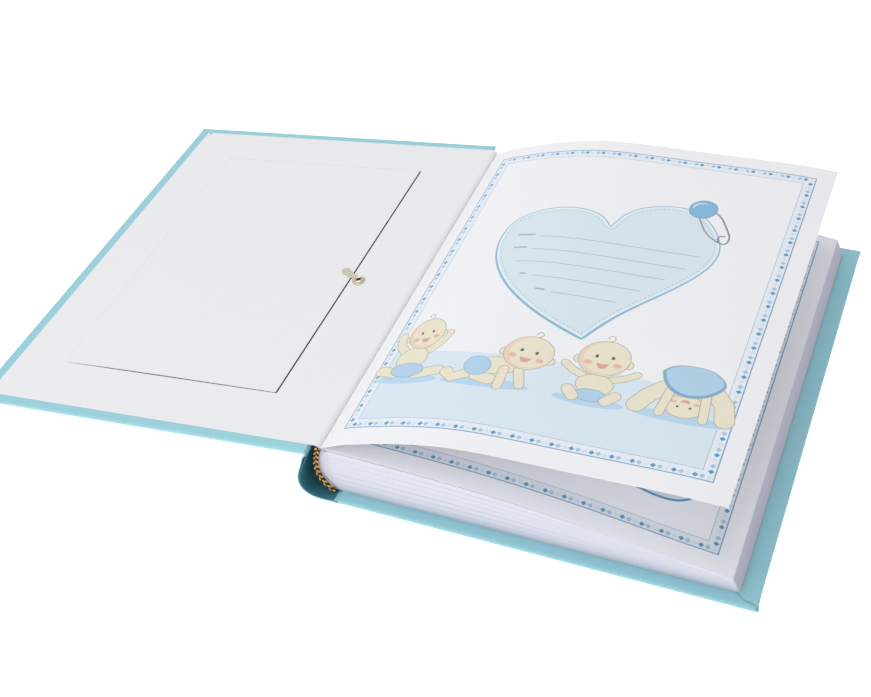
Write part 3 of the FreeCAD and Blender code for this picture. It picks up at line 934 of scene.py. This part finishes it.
def build_headbands():
    """Two twisted cords side by side at each end of the block, gold with black."""
    line = Line(spline(HEADBAND_PATH, 16))
    pitch, helix, cords_apart, cords_out = 4.2, 0.44, 0.66, 1.1
    core_wide, core_deep, core_out = 1.05, 0.42, 0.75
    gold_thread, black_thread = 0.53, 0.63
    steps = int(line.length / pitch * 14)
    for end, body_end in (("tail", -1), ("head", 1)):
        build = Build()
        rings, uvs = [], []
        for s in steps_between(0.2, line.length - 0.2, 60):
            middle, left = line.at(s), line.left(s)
            ring, marks = [], []
            for corner in range(12):
                angle = math.pi * corner / 6
                point = middle + left * (core_wide * math.cos(angle))
                out = HALF_PAGE + core_out + core_deep * math.sin(angle)
                ring.append(Vector((point.x, body_end * out, point.y)))
                marks.append((s, corner * 0.4))
            rings.append(ring)
            uvs.append(marks)
        build.tube(rings, uvs, 1)
        for cord, sense in ((-1, 1), (1, -1)):
            for start, kind, thread in ((0.0, 0, gold_thread), (math.pi, 1, black_thread)):
                centres = []
                for step in range(steps + 1):
                    s = line.length * step / steps
                    turn = start + sense * 2 * math.pi * s / pitch
                    middle, left = line.at(s), line.left(s)
                    across = cord * cords_apart + helix * math.cos(turn)
                    out = helix * math.sin(turn)
                    point = middle + left * across
                    centres.append(Vector((point.x, body_end * (HALF_PAGE + cords_out + out), point.y)))
                rings, uvs = [], []
                for index, centre in enumerate(centres):
                    ahead = centres[min(index + 1, steps)] - centres[max(index - 1, 0)]
                    ahead.normalize()
                    one = ahead.cross(Vector((0, 1, 0))).normalized()
                    other = ahead.cross(one)
                    ring, marks = [], []
                    for corner in range(8):
                        angle = math.pi * corner / 4
                        ring.append(centre + (one * math.cos(angle) + other * math.sin(angle)) * thread)
                        marks.append((index * 0.16, corner * 0.3))
                    rings.append(ring)
                    uvs.append(marks)
                build.tube(rings, uvs, kind)
        piece = build.piece(f"headband_{end}_cords", [MATERIALS["gold"], MATERIALS["black"]], sharp=80)
        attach(piece, "text_block")
        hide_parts(f"headband_{end}")


DRAWN_IN = 0.8
LEAF_CARD = 0.3
GUARD_END = 15.0
SETTLE_REACH = 40.0
BACK_LEAF = box("back_endleaf")
SECOND_LEAF = box("leaf_2")
SECTIONS = 7
LEAVES = 4
LEAF_COUNT = SECTIONS * LEAVES + 1


def second_height(x):
    """The height of the second leaf's top above a place on the table."""
    points = SECOND_LINE.points
    index = 1
    while index < len(points) - 1 and points[index].x < x:
        index += 1
    a, b = points[index - 1], points[index]
    return a.y + (b.y - a.y) * (x - a.x) / (b.x - a.x)


def leaf_line(number, jitter=0.0, settle=0.0):
    """The top of a leaf: 0 is the plain leaf at the back, LEAF_COUNT the second leaf."""
    share = number / LEAF_COUNT
    low = BACK_LEAF[0].z + LEAF_CARD
    low_end = BACK_LEAF[1].x
    end = low_end + (SECOND_LEAF[1].x - low_end) * share + jitter
    points = []
    for step in range(17):
        t = (step / 16) ** 1.3
        x = 0.5 + (end - 0.5) * t
        past = max(0.0, min(1.0, (x - GUARD_END) / SETTLE_REACH))
        points.append((x, low + (second_height(x) - low) * share - settle * past * (1 - t)))
    return Line(spline(points, 5))


def gap_above(x):
    """The height from one leaf to the next at a place on the table."""
    return (second_height(x) - BACK_LEAF[0].z) / LEAF_COUNT


def stacked_leaf(build, line, half, fill):
    """A leaf with the card that fills it out towards the spine, so that it lies close on the next."""
    stations = [*steps_between(0, 16, 5), *steps_between(20, line.length, 26)]
    rings, uvs = [], []
    for s in stations:
        middle, left = line.at(s), line.left(s)
        thick = LEAF_CARD + max(0.0, gap_above(middle.x) - LEAF_CARD - 0.02) * fill
        ring, marks = [], []
        for offset, y in sheet_ring(half, thick, 6):
            point = middle + left * offset
            ring.append(Vector((point.x, y, point.y)))
            marks.append((s, y))
        rings.append(ring)
        uvs.append(marks)
    build.tube(rings, uvs)


def build_leaves():
    """The leaves under the second one."""
    root_pitch = (pivot("leaf_2_turn").y - BACK_LEAF[0].z) / LEAF_COUNT
    plain = Build()
    line = leaf_line(0)
    plain.sheet(line, steps_between(0, line.length, 26), sheet_ring(HALF_PAGE - DRAWN_IN, LEAF_CARD, 6))
    piece = plain.piece("back_endleaf_sheet", [MATERIALS["card"]])
    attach(piece, "text_block")
    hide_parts("back_endleaf")
    for section in range(1, SECTIONS + 1):
        build = Build()
        first = 1 + LEAVES * (SECTIONS - section)
        for number in range(first, first + LEAVES):
            place = number - first
            line = leaf_line(number, random.uniform(-0.3, 0.3), 0.04 * place)
            half = HALF_PAGE + random.uniform(-0.08, 0.0) - DRAWN_IN * (1 - number / LEAF_COUNT)
            stacked_leaf(build, line, half, 1.0 if place else 0.84)
        name = f"leaf_section_{section}"
        piece = build.piece(f"{name}_sheets", [MATERIALS["card"]])
        if f"{name}_turn" in JOINTS:
            hinge = pivot(f"{name}_turn")
            start, end = Vector((hinge.x - 2.2, 0, hinge.y)), Vector((hinge.x + 1.5, 0, hinge.y))
            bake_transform(piece)
        else:
            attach(piece, "text_block")
        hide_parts(name)
    back = Line(spline([(-3.4, 35.6), (-6.4, 21.0), (0.0, 5.2)], 12))
    build = Build()
    for number in range(1, LEAF_COUNT):
        low = BACK_LEAF[1].z + root_pitch * (number - 1) + 0.05
        height = low + (root_pitch - LEAF_CARD) / 2
        inner = min(back.points, key=lambda point: abs(point.y - height)).x + 0.4
        inner = min(inner, -0.3)
        start = Vector((inner, 34.4 * (height / 34.4) ** 0.98 + 0.3))
        stub_end = 1.3
        half = HALF_PAGE - 0.12 - DRAWN_IN * (1 - number / LEAF_COUNT)
        strip = Line(spline([start, ((inner + stub_end) / 2, height + 0.1), (stub_end, height)], 3))
        build.sheet(strip, steps_between(0, strip.length, 3), sheet_ring(half, root_pitch - 0.2, 4))
    piece = build.piece("binding_guard_stubs", [MATERIALS["card"]])
    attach(piece, "text_block")
    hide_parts("binding_guards")
    # The spine liner takes the darker teal of painted shade; the lining takes the mull.
    for node, name in (("spine_liner", "covering_inside"), ("spine_lining", "mull")):
        materials = frame["nodes"][node].data.materials
        materials.clear()
        materials.append(MATERIALS[name])


# ---- print --------------------------------------------------------------------------------------------
INKS = {
    "mat": "#DCE9F5", "band": "#EAF0F8", "line": "#73A0C3", "rim": "#A9B9CF",
    "dark": "#5B9DC5", "mid": "#A6CBE3", "light": "#DCE7F2",
    "heart": "#DCE9F1", "heart_rim": "#EAF3F8", "heart_edge": "#8DBBD6",
    "stitch": "#9FC3D8", "rule": "#A9B4BC",
    "pin": "#86BBE0", "pin_light": "#C9E2F3", "wire": "#8D979E", "skin": "#EDE6CF", "skin_line": "#B3AF9B",
    "blush": "#EDBCA8", "mouth": "#E5A594", "eye": "#66665A", "nappy": "#B4D3EA", "nappy_line": "#7FB2D6",
    "shadow": "#BBDAF0", "peach": "#F3D3BA",
}


def turned_about(centre, x, y, tilt):
    """The point (x, y) from a centre, turned about it by an angle in radians."""
    across = x * math.cos(tilt) - y * math.sin(tilt)
    upward = x * math.sin(tilt) + y * math.cos(tilt)
    return (centre[0] + across, centre[1] + upward)


class Print:
    """Flat shapes on a page in (s, y), painted in order."""

    def __init__(self, outline):
        self.shapes = [(outline, "paper")]

    def fill(self, points, ink):
        """A closed shape."""
        area = 0.0
        for a, b in zip(points, [*points[1:], points[0]]):
            area += a[0] * b[1] - b[0] * a[1]
        points = [Vector(point) for point in points]
        self.shapes.append((points if area > 0 else points[::-1], ink))

    def stroke(self, points, width, ink):
        """An open line of even width."""
        left, right = [], []
        points = [Vector(point) for point in points]
        for index, point in enumerate(points):
            ahead = points[min(index + 1, len(points) - 1)] - points[max(index - 1, 0)]
            side = Vector((-ahead.y, ahead.x)).normalized() * (width / 2)
            left.append(point + side)
            right.append(point - side)
        self.fill(left + right[::-1], ink)

    def ellipse(self, centre, wide, high, ink, turn=0.0, corners=24, start=0, end=360):
        """An ellipse by its full width and height, turned by some degrees."""
        tilt = math.radians(turn)
        points = []
        span = end - start
        count = corners if span >= 360 else corners + 1
        for index in range(count):
            angle = math.radians(start + span * index / corners)
            x, y = math.cos(angle) * wide / 2, math.sin(angle) * high / 2
            points.append(turned_about(centre, x, y, tilt))
        self.fill(points, ink)

    def limb(self, points, width, ink, line):
        """A rounded limb with a thin outline."""
        for extra, colour in ((0.9, line), (0.0, ink)):
            full = width + extra
            path = [Vector(point) for point in points]
            self.stroke(path, full, colour)
            for point in (path[0], path[-1]):
                self.ellipse(point, full, full, colour, corners=14)

    def blob(self, centre, wide, high, ink, line, turn=0.0):
        """An ellipse with a thin outline."""
        self.ellipse(centre, wide + 0.9, high + 0.9, line, turn)
        self.ellipse(centre, wide, high, ink, turn)


def grown(points, distance):
    """A closed outline moved outward by a distance; inward if it is negative."""
    points = [Vector(point) for point in points]
    area = sum(a.x * b.y - b.x * a.y for a, b in zip(points, [*points[1:], points[0]]))
    sense = 1 if area > 0 else -1
    result = []
    for index, point in enumerate(points):
        ahead = points[(index + 1) % len(points)] - points[index - 1]
        result.append(point + Vector((ahead.y, -ahead.x)).normalized() * (distance * sense))
    return result


def border(page, low_s, high_s, low_y, high_y):
    """The printed frame: two lines, a pale band between them and a row of diamonds."""
    edge, inner, inner_line = 0.32, 6.4, 0.34
    pitches = (3.52, 3.8)
    page.fill(rectangle(low_s - edge, high_s + edge, low_y - edge, high_y + edge), "line")
    page.fill(rectangle(low_s + edge, high_s - edge, low_y + edge, high_y - edge), "band")
    page.fill(rectangle(low_s + inner, high_s - inner, low_y + inner, high_y - inner), "rim")
    inset = inner + inner_line
    ground = rectangle(low_s + inset, high_s - inset, low_y + inset, high_y - inset)
    page.fill(ground, "paper")
    middle, half = 2.5, 1.55
    across = high_s - low_s - 2 * middle
    upward = high_y - low_y - 2 * middle
    places = []
    for side, length in ((0, across), (1, upward), (2, across), (3, upward)):
        count = round(length / pitches[side % 2])
        first = 2 if side else 2 - count
        for index in range(count):
            run = length * index / count
            corner = {
                0: (low_s + middle + run, low_y + middle),
                1: (high_s - middle, low_y + middle + run),
                2: (high_s - middle - run, high_y - middle),
                3: (low_s + middle, high_y - middle - run),
            }[side]
            places.append((corner, ("dark", "mid", "light")[(first + index) % 3]))
    for (s, y), ink in places:
        page.fill([(s + half, y), (s, y + half), (s - half, y), (s, y - half)], ink)
    return ground


# The heart in two halves: from its tip up the left side to the notch, and down the right side again.
HEART_TIP = (123, -44)
HEART_NOTCH = (110, 53)
HEART_LEFT = [HEART_TIP, (105, -36), (82, -22), (57, 4), (45, 34), (50, 56), (66, 65), (88, 67), (102, 62)]
HEART_LEFT += [HEART_NOTCH]
HEART_RIGHT = [HEART_NOTCH, (118, 70), (134, 79), (153, 79), (170, 64), (177, 42), (167, 17), (141, -15)]
HEART_RIGHT += [(130, -31), HEART_TIP]


def heart_outline():
    """The heart's outline: two smooth halves that meet at the notch and the tip."""
    left = spline(HEART_LEFT, 6)[:-1]
    right = spline(HEART_RIGHT, 6)[:-1]
    return left + right


def write_on_heart(page):
    """A plain heart with a stitched edge, rules to write on and a short dash where each rule starts."""
    outline = heart_outline()
    thick = []
    for point, out in zip(outline, grown(outline, 1.0)):
        share = max(0.0, min(1.0, (60 - point.y) / 90))
        thick.append(point + (out - point) * (0.35 + 1.0 * share))
    page.fill(thick, "heart_edge")
    page.fill(grown(outline, -0.35), "heart_rim")
    page.fill(grown(outline, -1.5), "heart")
    stitched = Line([*grown(outline, -2.9), grown(outline, -2.9)[0]])
    count = int(stitched.length / 2.6)
    for index in range(count):
        start = stitched.length * index / count
        page.stroke([stitched.at(start), stitched.at(start + 1.3)], 0.45, "stitch")
    rules = [(38.3, 71, 168, 56), (26, 70, 162.5, 57), (14.3, 64, 153.6, 0)]
    rules += [(1.6, 78, 142.5, 70), (-11, 94, 132.5, 84)]
    for y, start, end, dash in rules:
        page.stroke([(start, y), (end, y)], 0.5, "rule")
        if dash:
            page.stroke([(dash, y + 1.4), (start - 4, y + 1.4)], 1.3, "rule")


def safety_pin(page):
    """A safety pin through the heart's shoulder."""
    wire = [(165.5, 81), (170.5, 76.6), (173.4, 72), (176.8, 65.5), (179.3, 59.5), (179.5, 55.6)]
    wire += [(178.2, 53), (176, 52.8), (174, 54.6), (173.2, 57.2), (174.6, 59.4), (177, 59.6)]
    page.stroke(spline(wire, 4), 1.1, "wire")
    needle = [(158.2, 73.4), (160.2, 69.6), (164, 62.5), (168.6, 57.3), (174.3, 53.2)]
    page.stroke(spline(needle, 4), 0.9, "wire")
    page.ellipse((158.6, 81.8), 17.0, 17.6, "wire", -20, 32)
    page.ellipse((158.6, 81.8), 15.8, 16.4, "pin", -20, 32)
    page.ellipse((156.6, 84.2), 9.4, 7.4, "pin_light", 20, 24)
    page.ellipse((157.6, 83.2), 9.4, 7.2, "pin", 20, 24)


def face(page, centre, size, turn=0.0, flip=1):
    """A plain round head with two dots, a smile, two cheeks and a curl."""
    wide, high = size
    tilt = math.radians(turn)

    def at(x, y):
        """A place on the face."""
        y *= flip
        return turned_about(centre, x, y, tilt)

    if flip > 0:
        for side in (-1, 1):
            page.blob(at(side * wide * 0.5, -high * 0.1), wide * 0.16, high * 0.2, "skin", "skin_line", turn)
    page.blob(centre, wide, high, "skin", "skin_line", turn)
    page.ellipse(at(-wide * 0.01, 0), wide * 0.96, high * 0.97, "peach", turn, 36)
    page.ellipse(at(wide * 0.03, high * 0.02), wide * 0.88, high * 0.92, "skin", turn, 36)
    for side in (-1, 1):
        page.ellipse(at(side * wide * 0.29, -high * 0.16), wide * 0.17, high * 0.13, "blush", turn, 14)
        page.ellipse(at(side * wide * 0.16, high * 0.04), wide * 0.07, high * 0.1, "eye", turn, 12)
    smile = [at(-wide * 0.13, -high * 0.15), at(0, -high * 0.17), at(wide * 0.13, -high * 0.15)]
    lower = [at(wide * 0.07, -high * 0.28), at(0, -high * 0.31), at(-wide * 0.07, -high * 0.28)]
    page.fill(smile + lower, "mouth")
    if flip > 0:
        curl = [at(-wide * 0.02, high * 0.5), at(wide * 0.07, high * 0.58), at(wide * 0.04, high * 0.66)]
        curl += [at(-wide * 0.06, high * 0.64), at(-wide * 0.05, high * 0.57)]
        page.stroke(spline(curl, 3), 0.55, "skin_line")


def figures(page):
    """Four plain babies on the mat: one sits with arms up, one crawls, one sits, one bends down."""
    for low, high, y in ((14, 53, -88), (56, 108, -88.6), (121, 160, -89), (163, 214, -88.6)):
        page.ellipse(((low + high) / 2, y), high - low, 7.4, "shadow", 0, 32)

    for path in ([(24, -66), (18, -60), (15, -51)], [(37, -66), (43, -59), (46, -50)]):
        page.limb(path, 5.4, "skin", "skin_line")
    page.limb([(24, -83), (13, -80)], 7.0, "skin", "skin_line")
    page.limb([(38, -84), (51, -81)], 7.0, "skin", "skin_line")
    page.blob((30, -71), 19, 19, "skin", "skin_line")
    page.blob((31, -80.6), 21, 11, "nappy", "nappy_line", -4)
    face(page, (31, -49.5), (22, 26), 12)

    page.limb([(72, -82), (62, -86.5), (57, -82)], 7.0, "skin", "skin_line")
    page.limb([(76, -84), (84, -86)], 7.4, "skin", "skin_line")
    page.blob((84, -75), 28, 13, "skin", "skin_line", 6)
    page.blob((74, -76.4), 16, 14, "nappy", "nappy_line", -30)
    page.limb([(90, -77), (90.5, -90)], 5.2, "skin", "skin_line")
    page.limb([(98, -76), (102, -87)], 5.2, "skin", "skin_line")
    face(page, (99, -62), (28, 25.5), -6)

    for side in (-1, 1):
        arm = [(140.5 + side * 8, -71), (140.5 + side * 14, -68.5), (140.5 + side * 20, -64)]
        page.limb(arm, 4.2, "skin", "skin_line")
    page.blob((140.5, -76.5), 20, 15, "skin", "skin_line")
    page.blob((140.5, -84.5), 17, 8.5, "nappy", "nappy_line")
    for side in (-1, 1):
        page.limb([(140.5 + side * 9, -87), (140.5 + side * 13, -82.5)], 6.2, "skin", "skin_line")
    face(page, (140, -56), (28, 26.5), 2)

    page.limb([(180, -66), (170, -76), (165.5, -84.5)], 10.0, "skin", "skin_line")
    page.limb([(200, -64), (209, -74), (211.5, -84.5)], 10.0, "skin", "skin_line")
    face(page, (189.5, -80), (21, 16), 0, -1)
    for side, hand in (((180, -70), (178, -87)), ((199, -70), (201, -87.5))):
        page.limb([side, hand], 4.6, "skin", "skin_line")
    nappy = [(172.6, -57.2), (176, -53.4), (181, -51.2), (189, -50.4), (197, -51.4), (203, -55)]
    nappy += [(206.5, -60.3), (203.5, -66.5), (197, -71.6), (189, -73.2), (181, -70.6), (175.5, -64.6)]
    nappy += [(172.6, -57.2)]
    smooth = spline(nappy, 4)[:-1]
    page.fill(grown(smooth, 0.45), "skin_line")
    page.fill(smooth, "nappy_line")
    lit = [(s * 0.93 + 13.4, y * 0.92 - 4.1) for s, y in smooth]
    page.fill(lit, "nappy")


def print_first_page():
    """The first page: a heart to write on, a safety pin and four babies in a printed frame."""
    s, half = FIRST_LENGTH, HALF_PAGE
    page = Print([Vector(point) for point in rectangle(0, s, -half, half)])
    ground = border(page, 10.5, 216, -125.5, 127.5)
    top = [(ground[1][0], -65.5), (196, -66.4), (176, -66.8), (150, -65.4), (120, -65)]
    top += [(96, -65.6), (78, -66.2), (60, -66), (38, -64.8), (ground[0][0], -63)]
    page.fill([ground[0], ground[1], *top], "mat")
    write_on_heart(page)
    safety_pin(page)
    figures(page)
    return page


PICTURE_CENTRE = Vector((159, -64.6))
PICTURE_HALF = (46, 34)
PICTURE_TILT = -12


def tilted_picture():
    """The outline of a picture with round corners, set a little askew."""
    tilt = Matrix.Rotation(math.radians(PICTURE_TILT), 2)
    points = []
    for turn in steps_between(0, 354, 59):
        angle = math.radians(turn)
        parts = (math.cos(angle), math.sin(angle))
        across, upward = [math.copysign(math.sqrt(abs(part)), part) for part in parts]
        points.append(PICTURE_CENTRE + tilt @ Vector((across * PICTURE_HALF[0], upward * PICTURE_HALF[1])))
    return points


def print_second_page():
    """The next page: the same frame round a plain pale picture."""
    page = Print([Vector(point) for point in rectangle(0, SECOND_LENGTH, -HALF_PAGE, HALF_PAGE)])
    border(page, 12.5, 218.4, -126.7, 131.6)
    for grow, ink in ((1.5, "dark"), (0.0, "heart")):
        page.fill(grown(tilted_picture(), grow), ink)
    return page


def ink_materials():
    """One material for each ink: a plain colour, with the paper's relief and a satin gloss."""
    made = {}
    for name, code in INKS.items():
        shader = paper_like(f"ink_{name}", linear(code), 0.46, 0.008)
        if name == "mat":
            where = shader.where(turn=math.radians(45))
            lattice = []
            for direction in ("X", "Y"):
                wave = shader.node("ShaderNodeTexWave", {"Vector": where}, Scale=190.0)
                wave.bands_direction = direction
                lattice.append(wave.outputs["Fac"])
            cross = shader.maths("MULTIPLY", lattice[0], lattice[1])
            shader.set("Base Color", shader.mix(cross, linear("#D9E8F3"), linear("#E4EFF6")))
        made[name] = shader.material
    return made


def printed_sheet(name, line, page, thickness, half, lift, paper="page"):
    """A printed leaf: its print is part of its top face, and its underside and edges are plain."""
    verts, faces, edges = [], [], []
    for points, ink in page.shapes:
        faces.append(list(range(len(verts), len(verts) + len(points))))
        verts.extend(points)
    marks = steps_between(0, 12, 12)[1:] + steps_between(12, line.length, 54)[1:-1]
    for s in marks:
        edges.append((len(verts), len(verts) + 1))
        verts.extend((Vector((s, -half)), Vector((s, half))))
    for y in steps_between(-half, half, 14)[1:-1]:
        edges.append((len(verts), len(verts) + 1))
        verts.extend((Vector((0, y)), Vector((line.length, y))))
    flat, _, flat_faces, _, _, owners = delaunay_2d_cdt(verts, edges, faces, 0, 1e-4)
    names = ["paper", *INKS]
    points, uvs = [], []
    count = len(flat)
    normals = []
    for level in (0, -thickness):
        for point in flat:
            middle, left = line.at(point.x), line.left(point.x)
            section = middle + left * level
            points.append(Vector((section.x, point.y, section.y + lift(point.x, point.y))))
            uvs.append((point.x, point.y))
            slope = (lift(point.x, point.y + 1) - lift(point.x, point.y - 1)) / 2
            normal = Vector((left.x, -slope, left.y)).normalized()
            normals.append(normal if level == 0 else -normal)
    shape_faces, kinds, uses = [], [], set()
    for face_points, owned in zip(flat_faces, owners):
        ink = page.shapes[max(owned)][1] if owned else "paper"
        kinds.append(names.index(ink))
        shape_faces.append(tuple(face_points))
        for a, b in zip(face_points, [*face_points[1:], face_points[0]]):
            uses.add((a, b))
    for face_points in flat_faces:
        shape_faces.append(tuple(count + i for i in reversed(face_points)))
        kinds.append(0)
    under_count = len(shape_faces)
    for a, b in sorted(uses):
        if (b, a) not in uses:
            shape_faces.append((b, a, count + a, count + b))
            kinds.append(0)
    materials = [MATERIALS[paper], *INK_MATERIALS.values()]
    piece = mesh_piece(name, points, shape_faces, materials, uvs, kinds, sharp=180, turn_out=False)
    mesh = piece.data
    corners = []
    for polygon in mesh.polygons:
        for index in polygon.vertices:
            if polygon.index < under_count:
                corners.append(normals[index])
            else:
                corners.append(polygon.normal)
    mesh.normals_split_custom_set(corners)
    return piece


INK_MATERIALS = ink_materials()


def build_printed_leaves():
    """The first leaf, which stands up in a curve, and the second leaf under it."""

    def lean(s, y):
        """The raised leaf is twisted a little: higher at its tail."""
        return -1.1 * (y / HALF_PAGE) * (max(s, 0) / FIRST_LENGTH) ** 1.5

    def sag(s, y):
        """The second leaf's corners hang a little."""
        return -0.12 * (y / HALF_PAGE) ** 4 * (max(s, 0) / SECOND_LENGTH) ** 4

    piece = printed_sheet("leaf_1_printed", FIRST_LINE, print_first_page(), 0.33, HALF_PAGE, lean)
    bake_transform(piece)
    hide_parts("leaf_1", "leaf_1_guard")
    page = print_second_page()
    piece = printed_sheet("leaf_2_printed", SECOND_LINE, page, LEAF_CARD, HALF_PAGE, sag, "second_page")
    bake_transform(piece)
    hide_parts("leaf_2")


# ---- studio -------------------------------------------------------------------------------------------
CAMERA_AT = (296.21, -573.31, 596.70)
CAMERA_RIGHT = (0.922888, 0.374268, -0.090562)
CAMERA_UP = (-0.199182, 0.665262, 0.719550)
CAMERA_LENS = 58.163
CAMERA_SENSOR = 36.0
TABLE_HALF = 30.0
TABLE_TOP = -0.0005


def area_light(name, place, aim, size, power):
    """A soft square light."""
    data = bpy.data.lights.new(name, "AREA")
    data.shape = "SQUARE"
    data.size = size
    data.energy = power
    light = bpy.data.objects.new(name, data)
    light.location = place
    light.rotation_euler = (Vector(aim) - Vector(place)).to_track_quat("-Z", "Y").to_euler()
    bpy.context.scene.collection.objects.link(light)


def build_studio():
    """The camera, a white table that runs out of view, and broad soft light."""
    right, up = Vector(CAMERA_RIGHT).normalized(), Vector(CAMERA_UP).normalized()
    back = right.cross(up)
    data = bpy.data.cameras.new("camera")
    data.lens = CAMERA_LENS
    data.sensor_width = CAMERA_SENSOR
    data.clip_end = 20
    camera = bpy.data.objects.new("camera", data)
    turn = Matrix((right, up, back)).transposed()
    camera.matrix_world = Matrix.Translation(Vector(CAMERA_AT) * MM) @ turn.to_4x4()
    bpy.context.scene.collection.objects.link(camera)
    bpy.context.scene.camera = camera

    shader = Shader("white_table", (0.5, 0.5, 0.5, 1), 0.7, specular=0.2)
    shader.surface.inputs["Emission Color"].default_value = (1, 1, 1, 1)
    shader.surface.inputs["Emission Strength"].default_value = 0.96
    mesh = bpy.data.meshes.new("table")
    corners = rectangle(-TABLE_HALF, TABLE_HALF, -TABLE_HALF, TABLE_HALF)
    mesh.from_pydata([(x, y, TABLE_TOP) for x, y in corners], [], [(0, 1, 2, 3)])
    mesh.materials.append(shader.material)
    table = bpy.data.objects.new("table", mesh)
    bpy.context.scene.collection.objects.link(table)

    world = bpy.data.worlds.new("studio")
    world.use_nodes = True
    world.node_tree.nodes["Background"].inputs["Color"].default_value = (0.97, 0.98, 1, 1)
    world.node_tree.nodes["Background"].inputs["Strength"].default_value = 0.53
    bpy.context.scene.world = world
    area_light("front_soft", (-0.7, -1.3, 1.2), (0, 0, 0), 1.6, 6.5)
    area_light("top_soft", (-0.5, 0.1, 1.9), (0, 0, 0), 1.6, 15.5)
    bpy.context.scene.view_settings.view_transform = "Standard"


build_case()
build_spine()
build_front_joint()
build_back_turn_in()
build_spine_lining()
build_corner_folds()
build_button()
build_headbands()
build_leaves()
build_printed_leaves()
build_studio()
